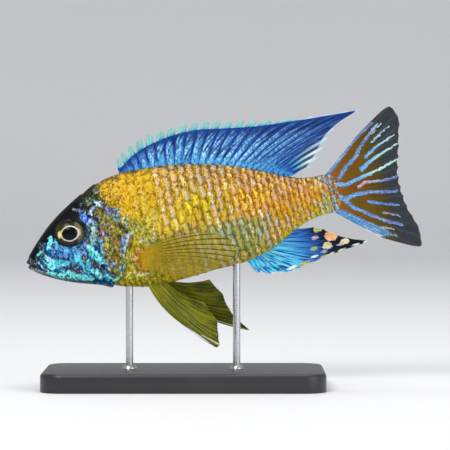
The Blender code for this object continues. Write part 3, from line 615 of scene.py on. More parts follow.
# Marks on the head: colour, shade, half width, strength, then points as (x, z)
headMarks = [
    # cheek: blue under the eye, then bright cyan and mint down to the jaw
    ("deepBlue", 1.0, 1.68, 0.95, [(8.8, 1.6), (11.1, -0.1), (14.4, -1.0), (16.9, -0.9)]),
    ("cyan", 0.95, 0.99, 0.95, [(8.4, -2.3), (10.2, -2.5), (12.7, -3.5), (15.0, -3.4)]),
    ("teal", 0.6, 0.9, 0.9, [(5.4, 4.0), (5.8, 1.6), (4.1, 0.1)]),
    ("navy", 0.9, 0.54, 0.8, [(9.4, -0.9), (12.1, -1.9), (14.1, -2.3)]),
    ("deepBlue", 1.5, 0.49, 0.8, [(11.7, 0.3), (13.4, -0.4), (15.0, -1.6)]),
    ("sky", 1.0, 0.67, 1.0, [(10.1, 3.9), (10.6, 2.6), (12.6, 1.3), (14.7, 0.3)]),
    ("sky", 0.85, 0.76, 0.95, [(15.8, 0.8), (16.5, -0.8), (16.1, -2.1)]),
    ("cyan", 1.0, 0.81, 1.0, [(16.1, -1.6), (16.4, -3.3), (16.9, -5.0), (16.7, -6.6)]),
    ("mint", 0.95, 0.54, 1.0, [(6.2, 0.2), (6.9, -1.3), (7.5, -2.7)]),
    ("paleBlue", 0.95, 0.34, 0.9, [(6.2, 0.4), (7.0, -0.5), (8.0, -1.3)]),
    ("mint", 1.05, 0.94, 1.0, [(6.6, -3.0), (7.5, -3.5)]),
    ("teal", 0.6, 0.34, 0.95, [(4.7, -0.5), (5.5, -1.9), (6.0, -3.8)]),
    ("mint", 0.85, 0.34, 0.9, [(8.4, -3.6), (9.5, -3.4), (11.7, -3.6)]),
    ("navy", 0.9, 0.58, 0.85, [(10.9, -4.5), (12.3, -5.1)]),
    ("teal", 0.45, 1.12, 0.95, [(13.6, -4.5), (15.7, -5.4)]),
    ("plum", 1.3, 0.94, 0.9, [(13.1, -5.8), (14.9, -6.2), (16.3, -6.9)]),
    ("violet", 0.9, 0.29, 0.8, [(14.5, -5.6), (15.8, -5.2)]),
    ("teal", 0.5, 0.76, 0.9, [(18.2, -2.5), (18.3, -4.4)]),
    ("olive", 0.7, 0.36, 0.8, [(17.7, -2.6), (18.1, -3.9)]),
    ("cyan", 1.0, 0.72, 0.95, [(19.7, -4.2), (18.7, -5.9), (18.5, -7.4)]),
    ("deepBlue", 0.9, 0.58, 0.9, [(18.4, 0.4), (19.3, -0.5), (19.0, -1.8)]),
    ("paleBlue", 0.8, 0.25, 0.8, [(18.3, -0.9), (19.1, -0.6), (19.3, -1.4)]),
    ("mint", 0.9, 0.81, 0.95, [(20.4, 0.9), (21.3, -0.4), (20.7, -2.3)]),
    ("mint", 0.95, 0.7, 0.95, [(22.3, -1.9), (23.0, -3.3), (23.4, -5.1)]),
    ("cyan", 0.9, 0.58, 0.9, [(20.8, -2.8), (21.7, -4.2), (22.6, -5.5)]),
    ("lilac", 1.1, 0.38, 0.95, [(21.1, 4.8), (20.3, 3.2), (20.4, 1.6)]),
    ("violet", 0.8, 0.58, 0.85, [(18.5, 1.1), (19.7, 1.4)]),
    ("plum", 1.3, 1.17, 1.0, [(20.7, -4.9), (21.6, -6.7), (22.5, -8.1)]),
    ("plum", 0.8, 0.63, 0.9, [(23.1, -8.6), (22.9, -10.4)]),
    # jaw band
    ("teal", 1.0, 0.9, 0.9, [(5.7, -6.2), (8.1, -7.9), (12.8, -9.5), (18.0, -10.7)]),
    ("mint", 1.05, (0.54, 0.9), 1.0, [(6.2, -5.2), (7.8, -6.1), (10.3, -7.0), (13.2, -7.6), (16.0, -8.5),
                                      (18.8, -9.6)]),
    ("mint", 1.1, 0.54, 1.0, [(10.3, -5.5), (10.9, -6.7)]),
    ("mint", 1.0, 0.49, 1.0, [(12.1, -6.0), (13.7, -7.3)]),
    ("mint", 1.1, 0.9, 1.0, [(20.1, -7.3), (21.2, -8.3), (21.8, -9.6)]),
    ("teal", 0.8, 0.49, 0.9, [(20.0, -9.1), (20.9, -10.0)]),
    ("cyan", 0.9, 0.76, 1.0, [(23.8, -9.6), (24.2, -10.8)]),
    ("mint", 0.9, 0.29, 1.0, [(24.0, -9.6), (24.9, -10.4), (25.9, -11.5)]),
    # snout and lips
    ("mint", 0.95, (0.72, 0.45), 1.0, [(9.0, 5.6), (8.4, 4.0), (7.4, 2.3)]),
    ("teal", 1.1, 0.49, 0.85, [(6.5, 4.3), (5.5, 3.4)]),
    ("mint", 0.75, 0.34, 1.0, [(5.2, 2.0), (3.9, 1.2)]),
    ("teal", 0.7, 0.4, 0.8, [(3.2, 0.9), (3.4, -0.3)]),
    ("plum", 1.1, 1.03, 0.95, [(-0.0, 0.3), (1.4, -0.6), (2.6, -1.8)]),
    ("mint", 0.7, 0.22, 0.9, [(5.3, -0.9), (5.9, -2.6)]),
    ("paleBlue", 0.95, 0.22, 1.0, [(3.7, -1.2), (4.3, -2.5), (5.2, -3.8), (6.1, -4.4)]),
    ("plum", 1.1, 0.54, 0.9, [(0.2, -1.5), (1.5, -2.4)]),
    ("frost", 0.5, 0.25, 0.9, [(1.0, -2.4), (2.6, -3.4), (5.6, -4.9)]),
    ("lime", 0.5, 0.2, 0.8, [(1.5, -3.0), (3.2, -4.0)]),
    # behind the eye
    ("teal", 0.5, 0.99, 0.95, [(21.7, 6.6), (20.8, 2.4)]),
    ("frost", 1.0, 0.81, 1.0, [(23.8, 7.5), (23.2, 4.7), (22.4, 2.8)]),
    ("frost", 0.8, 0.54, 0.95, [(22.4, 2.8), (22.0, 1.1)]),
    ("teal", 0.4, 0.67, 0.95, [(25.2, 7.4), (24.1, 3.8)]),
    ("teal", 1.0, 0.54, 0.85, [(23.2, 1.4), (23.6, -0.0)]),
    ("sky", 0.95, 0.38, 0.95, [(24.2, 2.3), (24.6, 1.1), (24.6, -0.2)]),
    ("frost", 1.0, 0.31, 1.0, [(24.6, 0.5), (24.4, -2.5), (24.4, -4.8), (24.9, -6.7), (25.2, -8.5)]),
    ("royal", 1.3, 0.99, 1.0, [(20.5, 10.2), (21.3, 9.0), (22.3, 8.4)]),
    ("royal", 0.8, 0.54, 0.9, [(20.3, 11.3), (20.9, 11.8)]),
    ("sky", 1.0, 0.31, 0.95, [(21.4, 10.9), (20.7, 9.1)]),
    ("paleBlue", 0.9, 0.29, 0.9, [(21.5, 7.2), (22.5, 8.3)]),
    ("violet", 1.0, 0.58, 0.85, [(22.8, 10.7), (23.9, 11.4), (24.5, 12.4)]),
    ("white", 0.9, 0.25, 0.9, [(23.2, 11.1), (23.7, 10.5), (23.3, 9.2)]),
    ("navy", 0.8, 0.67, 0.9, [(23.9, 9.0), (24.9, 8.2)]),
    ("lilac", 1.0, 0.25, 0.95, [(17.8, 13.2), (18.5, 12.8)]),
    ("plum", 1.6, 0.58, 0.85, [(19.3, 12.7), (21.0, 12.1)]),
    ("violet", 0.5, 0.25, 0.8, [(20.5, 13.9), (21.5, 14.3)]),
    ("oliveDark", 0.8, 1.12, 0.85, [(22.4, 14.8), (24.7, 15.0)]),
    ("olive", 0.8, 0.45, 0.8, [(23.1, 13.6), (24.2, 13.9)]),
    ("oliveDark", 1.0, 0.9, 0.85, [(26.0, 16.9), (27.2, 18.3)]),
    ("lime", 0.9, 0.29, 0.9, [(26.6, 16.7), (27.4, 15.7)]),
    ("oliveDark", 0.9, 0.9, 0.95, [(27.8, 13.4), (28.0, 11.4)]),
    ("paleBlue", 1.15, 0.34, 1.0, [(25.4, 13.7), (26.1, 13.0), (27.1, 13.5)]),
    ("paleBlue", 1.15, 0.31, 1.0, [(25.3, 12.5), (26.1, 13.0), (26.7, 12.3)]),
    ("rust", 1.0, 0.45, 1.0, [(25.5, 11.3), (25.0, 9.9)]),
    # gill cover
    ("violet", 0.55, 1.03, 0.62, [(28.3, 10.6), (29.8, 9.8), (31.8, 9.9)]),
    ("frost", 0.45, 1.12, 0.62, [(30.0, 8.1), (31.1, 6.8)]),
    ("lilac", 0.9, 0.27, 0.85, [(28.6, 11.1), (29.4, 9.3)]),
    ("royal", 1.0, 0.29, 0.9, [(29.1, 10.7), (29.3, 10.0)]),
    ("oliveDark", 0.5, 0.4, 0.9, [(27.0, 10.5), (27.4, 9.3)]),
    ("paleBlue", 0.75, 0.27, 0.8, [(31.1, 10.5), (32.3, 9.8), (31.6, 8.6)]),
    ("navy", 0.9, 0.36, 0.9, [(30.1, 8.3), (30.9, 7.6)]),
    ("lime", 0.85, 0.58, 0.95, [(27.6, 8.8), (28.7, 8.1)]),
    ("paleBlue", 0.8, 0.45, 0.95, [(32.2, 7.3), (33.7, 6.9)]),
    ("lime", 1.0, 0.49, 0.95, [(32.2, 6.4), (33.2, 5.6)]),
    ("paleBlue", 0.85, 0.31, 0.9, [(33.7, 5.6), (33.7, 3.9)]),
    ("gold", 0.5, 0.9, 0.8, [(28.9, 5.3), (28.9, 2.8)]),
    ("oliveDark", 0.6, 0.31, 0.85, [(28.3, 4.5), (28.4, 3.1)]),
    ("lime", 0.85, 0.67, 0.75, [(30.5, 3.9), (31.5, 2.7)]),
    ("oliveDark", 0.8, 0.81, 0.9, [(30.2, 2.0), (31.1, 0.9)]),
    ("oliveDark", 0.5, 0.67, 0.9, [(31.2, 5.4), (32.3, 4.1)]),
    ("plum", 1.0, 0.9, 0.95, [(25.0, 3.6), (26.9, 2.9)]),
    ("lilac", 1.1, 0.27, 0.95, [(26.0, 3.9), (26.7, 2.3)]),
    ("lilac", 0.9, 0.36, 0.9, [(27.4, 6.4), (28.1, 5.2)]),
    ("lime", 0.8, 0.45, 0.9, [(25.8, 7.8), (26.4, 6.6)]),
    ("lime", 1.0, 0.76, 0.85, [(26.8, 1.1), (26.0, -0.8)]),
    ("stalk", 0.5, 1.03, 0.75, [(28.7, 0.7), (28.8, -2.0)]),
    ("olive", 0.9, 0.81, 0.9, [(27.8, -2.1), (26.6, -3.2)]),
    ("bellyTan", 0.9, 0.45, 0.9, [(26.1, -1.9), (26.2, -4.0)]),
    ("rust", 0.9, 0.34, 0.9, [(29.1, -4.5), (29.3, -5.4)]),
    ("brown", 1.1, 0.49, 0.8, [(28.5, -5.2), (27.8, -6.4)]),
    ("olive", 1.1, 0.67, 0.95, [(30.0, -4.3), (29.5, -6.6)]),
    ("oliveDark", 0.5, 0.54, 0.9, [(24.9, -4.2), (25.4, -5.9)]),
    ("violet", 1.2, 0.58, 0.95, [(26.0, -6.2), (27.2, -6.8)]),
    ("paleBlue", 0.8, 0.25, 0.9, [(26.3, -7.2), (27.3, -6.1)]),
    ("olive", 0.9, 0.81, 0.95, [(26.7, -8.3), (28.0, -9.6)]),
    ("sky", 1.0, 0.43, 1.0, [(28.9, -8.0), (29.2, -9.4)]),
    ("teal", 0.6, 0.63, 0.9, [(25.1, -9.1), (26.1, -10.1)]),
    ("violet", 1.1, 0.5, 0.95, [(32.4, 1.2), (31.5, -0.5)]),
    ("deepBlue", 1.1, 0.34, 0.9, [(31.2, -0.9), (30.2, -3.5)]),
    ("paleBlue", 1.0, 0.4, 1.0, [(34.9, 2.2), (33.5, 1.5), (32.7, -0.5)]),
    ("paleBlue", 0.85, 0.32, 0.95, [(32.3, -1.0), (31.5, -2.7), (30.9, -4.4)]),
    ("mint", 0.6, 0.22, 0.95, [(30.9, -4.6), (30.4, -7.0), (29.6, -8.9)]),
    ("mint", 0.75, 0.31, 1.0, [(28.5, -10.5), (27.3, -11.3), (25.7, -11.8)]),
    # behind the gill cover
    ("lime", 1.0, 2.02, 0.6, [(35.6, 2.9), (38.0, 0.0)]),
    ("olive", 1.1, 2.3, 0.5, [(38.2, 3.8), (41.0, -2.4)]),
    ("sun", 0.75, 1.04, 0.6, [(41.4, 5.9), (41.8, 0.8)]),
    ("sun", 0.7, 0.59, 0.55, [(35.8, 8.5), (35.7, 5.8)]),
    ("olive", 0.8, 1.31, 0.6, [(35.3, 5.3), (36.4, 3.7)]),
    ("paleBlue", 0.9, 0.39, 0.9, [(36.8, -0.7), (37.2, -1.3)]),
    ("stalk", 0.9, 1.96, 0.8, [(35.5, -5.1), (36.2, -9.6)]),
    ("lime", 0.95, 1.18, 0.7, [(32.2, -4.1), (31.5, -8.3)]),
    ("cream", 0.65, 0.46, 0.7, [(32.8, -6.2), (33.2, -8.0)]),
    ("lime", 1.15, 1.18, 0.8, [(30.8, -11.3), (34.3, -12.2), (38.0, -13.4)]),
    ("cream", 0.9, 0.52, 0.7, [(32.9, -10.9), (36.9, -12.3)]),
]
headReach = 47.0


def zonesAt(x, z):
    # (head, cheek, gill cover), each from 0 to 1
    gillX = gillAt(z)
    soft = 0.35 + 2.4 * ease(9.5, 14.0, z)
    gillX += 0.6 * soft * unevenness(x * 0.7, 5.0, z * 0.7)
    head = ease(gillX + soft, gillX - soft, x)
    if head <= 0:
        return 0.0, 0.0, 0.0
    cheekX = cheekAt(z)
    cover = head * ease(cheekX - 0.4, cheekX + 0.6, x) * ease(15.5, 12.5, z)
    roof = 3.2 + 0.12 * x + 1.3 * unevenness(x * 0.5, 3.1, z * 0.5)
    soft = 0.9 + 1.6 * ease(17.0, 21.0, x)
    cheek = ease(roof + soft, roof - soft, z) * ease(1.5, 5.0, x - 0.4 * z)
    return head, cheek * (1 - cover), cover


def readyStrokes(strokes):
    # each stroke with the box that it can reach and the colours of its two ends
    ready = []
    for name, shade, width, strength, path in strokes:
        widths = width if isinstance(width, tuple) else (width, width)
        names = name if isinstance(name, tuple) else (name, name)
        reach = 1.6 * max(widths) + 0.6
        xs, zs = zip(*path)
        box = (min(xs) - reach, max(xs) + reach, min(zs) - reach, max(zs) + reach)
        ready.append((box, [Vector(tint(end, shade)) for end in names], widths, strength, path))
    return ready


def strokesAt(ready, x, z, raggedness=0.3):
    # (colour, amount) where the strokes are laid over one another in their order
    x += raggedness * unevenness(x * 1.1, 0.0, z * 1.1)
    z += raggedness * unevenness(x * 1.1, 9.0, z * 1.1)
    x += 0.5 * raggedness * unevenness(x * 2.7, 4.0, z * 2.7)
    colour, amount = Vector(tint("mint")), 0.0
    for box, ends, widths, strength, path in ready:
        if not (box[0] < x < box[1] and box[2] < z < box[3]):
            continue
        far, spot = pathDistance(path, x, z)
        far /= widths[0] + (widths[1] - widths[0]) * spot
        cover = strength * (1 - ease(0.55, 1.5, far))
        if cover > 0:
            amount += cover * (1 - amount)
            colour = colour.lerp(ends[0].lerp(ends[1], ease(0.3, 0.8, spot)), cover / amount)
    return colour, amount


headStrokes = readyStrokes(headMarks)


def heightShare(x, z):
    # 1 on the back, 0 at the widest level, -1 on the belly
    back, belly, _, middle = sectionAt(x)
    reach = back - middle if z > middle else middle - belly
    return (z - middle) / max(reach, 0.01)


def addLayers(shape, **kinds):
    # vertex layers, given as name=kind
    return [getattr(shape.verts.layers, kind).new(name) for name, kind in kinds.items()]


def paintLayers(shape):
    return addLayers(shape, bodyPlace="float_vector", zones="float_color", markColor="float_color",
                     markAmount="float")


def paintBody(vert, layers, x, z):
    # writes the zones and marks of a place on the body onto a vertex
    bodyPlace, zones, markColor, markAmount = layers
    vert[bodyPlace] = Vector((x / 100.0, heightShare(x, z), 0.0))
    vert[zones] = Vector((*zonesAt(x, z), 1.0))
    if x < headReach:
        vert[markColor], vert[markAmount] = strokesAt(headStrokes, x, z)


skin = {
    "rings": 300,
    "sides": 176,
    "crowding": 1.5,  # above 1, the rings lie closer together towards the snout
    "underScales": 0.3,  # how far the skin lies inside the scales' surface
    "gillStep": 0.4,
    "unevenness": 0.05,
    # height, and half width of each small form
    "forms": {
        "cheekGroove": (-0.22, 0.45), "cheekRidge": (0.16, 0.9), "upperLip": (0.55, 0.75),
        "lowerLip": (0.55, 0.65), "mouth": (-0.6, 0.26), "maxilla": (-0.25, 0.35), "nostrilRim": (0.22, 0.3),
        "nostrilHole": (-0.7, 0.5), "pitRim": (0.12, 0.25), "pitHole": (-0.3, 0.38), "orbitRim": (0.3, 0.06),
    },
    "nostril": (5.8, 3.7),
    "pits": [(8.2, -5.6), (10.8, -6.6), (13.6, -7.9), (16.6, -9.0), (20.0, -10.0), (9.6, 0.6), (12.2, -0.4),
             (15.2, -0.8), (18.2, 0.2), (20.2, 3.0), (22.6, -2.0), (22.8, -6.0), (5.6, 1.6), (7.6, -0.6)],
    "socketDepth": 3.2,
}


def scaleFront(z):
    # where the scales begin behind the head
    return gillAt(z) + 1.3 - 6.0 * ease(12.0, 17.0, z)


def form(name, distance):
    height, width = skin["forms"][name]
    return height * hump(distance, width)


def skinRelief(x, y, z):
    # how far the skin stands out from the plain body, in millimetres
    gillX = gillAt(z)
    front = min(gillX, scaleFront(z) - 1.3)
    rise = -skin["underScales"] * ease(front - 0.2, front + 0.5, x)
    if x > 38:
        return rise
    rise += skin["gillStep"] * ease(gillX - 7, gillX - 0.5, x) * ease(gillX + 0.35, gillX - 0.05, x)
    fromCheek = x - cheekAt(z)
    rise += (form("cheekGroove", fromCheek) + form("cheekRidge", fromCheek + 1.1)) * ease(12.5, 10, z)
    if x < 9:
        for line in ("upperLip", "lowerLip", "mouth", "maxilla"):
            rise += form(line, pathDistance(headLines[line], x, z)[0])
        far = math.hypot(x - skin["nostril"][0], z - skin["nostril"][1])
        rise += form("nostrilRim", far - 0.75) + form("nostrilHole", far)
    for pitX, pitZ in skin["pits"]:
        far = math.hypot(x - pitX, z - pitZ)
        if far < 1.5:
            rise += form("pitRim", far - 0.55) + form("pitHole", far)
    return rise + skin["unevenness"] * unevenness(x * 0.8, y * 0.8, z * 0.8)


def makeSkin():
    rings = skin["rings"]
    shape = bmesh.new()
    bmesh.ops.create_uvsphere(shape, u_segments=skin["sides"], v_segments=rings + 1, radius=1.0)
    layers = paintLayers(shape)
    for vert in shape.verts:
        ring = math.acos(max(-1.0, min(1.0, vert.co.z))) / math.pi * (rings + 1)
        share = min(round(ring) / rings, 1.0)
        x = bodyShape["length"] * share ** skin["crowding"]
        vert.co = bodyPoint(x, math.atan2(vert.co.y, vert.co.x))
    shape.normal_update()
    bmesh.ops.recalc_face_normals(shape, faces=shape.faces)
    shape.normal_update()
    orbitX, orbitZ = eyeShape["orbit"]
    moves = []
    for vert in shape.verts:
        x, y, z = vert.co
        moved = vert.co + vert.normal * skinRelief(x, y, z)
        reach = math.hypot((x - orbitX) / eyeShape["orbitX"], (z - orbitZ) / eyeShape["orbitZ"])
        if reach < 1.25 and abs(y) > 2:
            rise = form("orbitRim", reach - 1.06) - skin["socketDepth"] * ease(1.0, 0.9, reach)
            moved.y += rise if y >= 0 else -rise
        moves.append(moved)
        paintBody(vert, layers, x, z)
    for vert, moved in zip(shape.verts, moves):
        vert.co = place(moved)
    return finishMesh("fishSkin", shape, skinMaterial)


print("skin")
skinPiece = makeSkin()
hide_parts("head", "lower_jaw", "gill_cover_left", "gill_cover_right", "trunk", "tail_stalk")

scaleCoat = {
    "seed": 11,
    "rootDepth": 0.34,  # how deep a scale's root lies under the skin's surface
    "thickness": 0.08,
    "sag": 0.6,  # how far a free edge is bowed
    "dome": 0.045,
    "shoulderLift": 0.3,  # the share of the lift that the shoulder's flat scales have
    "lean": 0.09,  # how a column leans back below the lateral line
    "lines": 24,  # the most scales in a column above the lateral line, and below it
    "margin": 0.15,  # how far past the back or belly a scale may lie, as a share of the row step
    "shake": 0.08,
    "across": 5,
    "lengthwise": 4,
    "napeEnd": 30.0,
    "breastEnd": 40.0,
    "bakePatch": 0.003,  # the size of one scale in the OFBake map
}

# distance round the body's side from the lateral line, for each station along it
girthStep = 1.0
girthTurns = 72
girths = []
for i in range(int(bodyShape["length"] / girthStep) + 1):
    ring = [bodyPoint(i * girthStep, math.pi * j / girthTurns) for j in range(girthTurns + 1)]
    run = [0.0]
    for a, b in zip(ring, ring[1:]):
        run.append(run[-1] + (b - a).length)
    lateral = run[int(girthTurns * 0.46)]
    girths.append([lateral - distance for distance in run])  # falls from the back to the belly


def turnAtRow(x, row):
    # the turn that lies at a distance above (+) or below (-) the lateral line
    i = min(max(int(x / girthStep), 0), len(girths) - 2)
    share = min(max(x / girthStep - i, 0.0), 1.0)
    turns = []
    for ring in (girths[i], girths[i + 1]):
        low, high = 0, girthTurns
        while high - low > 1:
            middle = (low + high) // 2
            if ring[middle] > row:
                low = middle
            else:
                high = middle
        part = (ring[low] - row) / (ring[low] - ring[high])
        turns.append((low + min(max(part, -0.5), 1.5)) * math.pi / girthTurns)
    return turns[0] + (turns[1] - turns[0]) * share


def surfaceAt(x, row):
    # a point of the body's right side, and the direction that it faces
    turn = min(max(turnAtRow(x, row), 0.0), math.pi)
    here = bodyPoint(x, turn)
    ahead = bodyPoint(x + 0.4, turn) - bodyPoint(x - 0.1, turn)
    around = bodyPoint(x, turn + 0.03) - bodyPoint(x, turn - 0.03)
    return here, ahead.cross(around).normalized(), turn


def scaleTemplate():
    # a thin closed plate over a unit square: x along the scale, y across it, z from its underside up
    shape = bmesh.new()
    bmesh.ops.create_grid(shape, x_segments=scaleCoat["lengthwise"], y_segments=scaleCoat["across"], size=0.5)
    bmesh.ops.translate(shape, verts=shape.verts, vec=(0.5, 0, 0))
    raised = bmesh.ops.extrude_face_region(shape, geom=shape.faces[:])
    upper = [item for item in raised["geom"] if isinstance(item, bmesh.types.BMVert)]
    bmesh.ops.translate(shape, verts=upper, vec=(0, 0, 1))
    mesh = bpy.data.meshes.new("scaleTemplate")
    shape.to_mesh(mesh)
    shape.free()
    return mesh


def glintFor(rng, x, height):
    # the sheen in the middle of a scale: its colour, and how strong it is
    if x < 44 and height > 0.1:
        kinds = [("sun", 0.8), ("gold", 1.1), ("cream", 0.7)]
        amount = rng.uniform(0.1, 0.5)
    elif height < -0.2 and x > 54:
        kinds = [("paleBlue", 1.0), ("frost", 1.0), ("cream", 0.9), ("lime", 0.9), ("paleBlue", 0.8)]
        amount = rng.uniform(0.6, 1.0)
    elif height < -0.3:
        kinds = [("lime", 1.3), ("sun", 0.8), ("cream", 0.6)]
        amount = rng.uniform(0.3, 0.8)
    elif height > 0.4:
        kinds = [("lilac", 1.3), ("cream", 1.0), ("lilac", 1.0), ("paleBlue", 0.8), ("white", 0.8)]
        amount = rng.uniform(0.6, 1.0)
    elif x > 76:
        kinds = [("sun", 0.9), ("cream", 0.9), ("orange", 1.4), ("lilac", 1.1), ("cream", 0.8)]
        amount = rng.uniform(0.4, 1.0)
    else:
        kinds = [("cream", 1.1), ("lilac", 1.2), ("white", 0.9), ("sun", 1.0), ("bellyTan", 1.8)]
        amount = rng.uniform(0.6, 1.0)
    kind, shade = rng.choice(kinds)
    return tint(kind, shade), amount


def coverGlint(rng, *_):
    kinds = [("lime", 0.9), ("olive", 1.0), ("lilac", 0.7), ("deepBlue", 0.8), ("oliveDark", 0.9),
             ("brown", 1.1), ("gold", 0.6), ("paleBlue", 0.5), ("teal", 1.0), ("olive", 0.7)]
    kind, shade = rng.choice(kinds)
    return tint(kind, shade), rng.uniform(0.5, 0.95)


def lattice(rng, patch):
    # (x, row, length, half height) of each scale of a patch on one side
    found = []
    middleX, last = patch["span"]
    rowStep, column = patch["rowStep"], 0
    margin, shake = scaleCoat["margin"] * rowStep, scaleCoat["shake"]
    while middleX <= last:
        small = 1 - (1 - patch.get("shrink", 1.0)) * ease(50, 95, middleX)
        for line in range(-scaleCoat["lines"], scaleCoat["lines"] + 1):
            row = (line + 0.5 * (column % 2)) * rowStep * small
            x = middleX - scaleCoat["lean"] * min(row, 0.0)
            ring = girths[min(int(x / girthStep), len(girths) - 1)]
            if not ring[-1] - margin < row < ring[0] + margin:
                continue
            if patch["inside"](x, surfaceAt(x, row)[0].z):
                shift = rng.uniform(-shake, shake)
                found.append((x + shift, row, patch["length"] * small, 0.56 * rowStep * small))
        middleX += patch["columnStep"] * small
        column += 1
    return found


def inFlank(x, z):
    if z < -7 and x < scaleCoat["breastEnd"] + 0.6 * (z + 12):
        return False
    if z > 12 and x < scaleCoat["napeEnd"]:
        return False
    return x > gillAt(z) + 1.6


def inBreast(x, z):
    return z < -5.5 and gillAt(z) + 1.3 < x < scaleCoat["breastEnd"] + 0.6 * (z + 12) + 1.2


def inNape(x, z):
    return z > 10.8 and scaleFront(z) + 0.4 < x < scaleCoat["napeEnd"] + 1.0


def inCover(x, z):
    return -9.5 < z < 12.0 and cheekAt(z) + 0.6 < x < gillAt(z) - 1.2


# Patches of scales: where they begin and end, the steps from column to column and from scale to scale, the
# scales' length, and how far their free edges stand above their roots
patches = {
    "flankScales_": {"span": (29.0, 101.5), "columnStep": 2.68, "rowStep": 4.6, "length": 5.6, "lift": 0.17,
                     "shrink": 0.6, "inside": inFlank, "seed": 3},
    "napeScales_": {"span": (17.0, 32.0), "columnStep": 1.7, "rowStep": 2.9, "length": 3.6, "lift": 0.3,
                    "inside": inNape, "seed": 4},
    "breastScales_": {"span": (24.0, 42.0), "columnStep": 1.75, "rowStep": 2.9, "length": 3.6, "lift": 0.3,
                      "inside": inBreast, "seed": 6},
    "coverScales_": {"span": (22.0, 36.0), "columnStep": 1.2, "rowStep": 2.0, "length": 2.5, "lift": 0.2,
                     "rise": 0.3, "inside": inCover, "seed": 5, "glint": coverGlint,
                     "material": coverScaleMaterial},
}


def makeScales(name, side, spots, patch):
    rng = random.Random(patch["seed"])
    glintOf = patch.get("glint", glintFor)
    template = scaleTemplate()
    shape = bmesh.new()
    layers = paintLayers(shape)
    glintLayer, amountLayer, rimLayer, spotLayer = addLayers(
        shape, glint="float_color", glintAmount="float", rimAmount="float", scaleSpot="float_vector"
    )
    bakeMap = shape.loops.layers.uv.new("OFBake")
    for x, row, length, tall in spots:
        root, _, rootTurn = surfaceAt(x, row)
        height = heightShare(x, root.z)
        glint, amount = glintOf(rng, x, height)
        rim = rng.uniform(0.8, 1.0) * (0.2 + 0.8 * max(ease(38, 50, x), ease(0.35, -0.1, height)))
        rim *= 1 - 0.35 * ease(74, 92, x)
        tall *= rng.uniform(0.97, 1.04)
        tilt = rng.uniform(-0.03, 0.03)
        sag = scaleCoat["sag"] * tall / 2.5
        # how much of its lift and dome a scale has
        plain = 1 - (1 - scaleCoat["shoulderLift"]) * ease(52, 40, x) * ease(-0.3, 0.1, height)
        plain *= 1 - 0.6 * ease(66, 92, x)
        firstVert, firstFace = len(shape.verts), len(shape.faces)
        shape.from_mesh(template)
        shape.verts.ensure_lookup_table()
        shape.faces.ensure_lookup_table()
        for vert in shape.verts[firstVert:]:
            a, b, upper = vert.co
            b *= 2
            spread = (0.85 + 0.15 * ease(0.0, 0.4, a)) * (1 - 0.2 * max(0.0, (a - 0.8) / 0.2) ** 2)
            px = x + (a - 0.62) * length - sag * a * a * (b * b - 0.35)
            here, normal, _ = surfaceAt(px, row + b * tall * spread)
            dome = scaleCoat["dome"] * (1 - b * b) * ease(0.15, 0.75, a) - 0.04 * b
            high = patch.get("rise", 0.0) - scaleCoat["rootDepth"] + patch["lift"] * (0.3 + (a - 0.3) * plain)
            high += dome * plain * tall / 2.3 + tilt * b * a
            high -= (1 - upper) * scaleCoat["thickness"] * (1 if a < 0.95 else 0.7)
            moved = here + normal * high
            moved.y *= side
            paintBody(vert, layers, px, here.z)
            vert[glintLayer] = Vector(glint)
            vert[amountLayer] = amount
            vert[rimLayer] = rim
            vert[spotLayer] = Vector((a, b, 0))
            vert.co = place(moved)
        bakeU = min(max(x / bodyShape["length"], 0.01), 0.99)
        bakeV = 0.5 + side * 0.49 * rootTurn / math.pi
        size = scaleCoat["bakePatch"]
        for face in shape.faces[firstFace:]:
            for loop in face.loops:
                a, b, _ = loop.vert[spotLayer]
                loop[bakeMap].uv = (bakeU + (a - 0.5) * size, bakeV + b * size / 2)
    bpy.data.meshes.remove(template)
    print(name, len(spots), "scales")
    return finishMesh(name, shape, patch.get("material", scaleMaterial))


print("scales")
for label, side in (("left", -1), ("right", 1)):
    rng = random.Random(scaleCoat["seed"])
    for name, patch in patches.items():
        makeScales(name + label, side, lattice(rng, patch), patch)

eyeLook = {
    "pupil": 2.3,
    "ring": 2.72,
    "pupilShift": (0.0, 0.15),
    "oval": (1.1, 0.92),  # the pupil's and the ring's width and height
    "sink": 0.12,  # how far the eyeball is set in from the solid eye
    "roughness": 0.25,
    "coat": 0.15,
    "specular": 0.06,
    "coatRoughness": 0.03,
    "lens": 0.28,  # how far the lens stands out of the iris
    "rimHeight": 0.42,
    "rimWidth": 0.09,
    "rimThickness": 0.3,
}


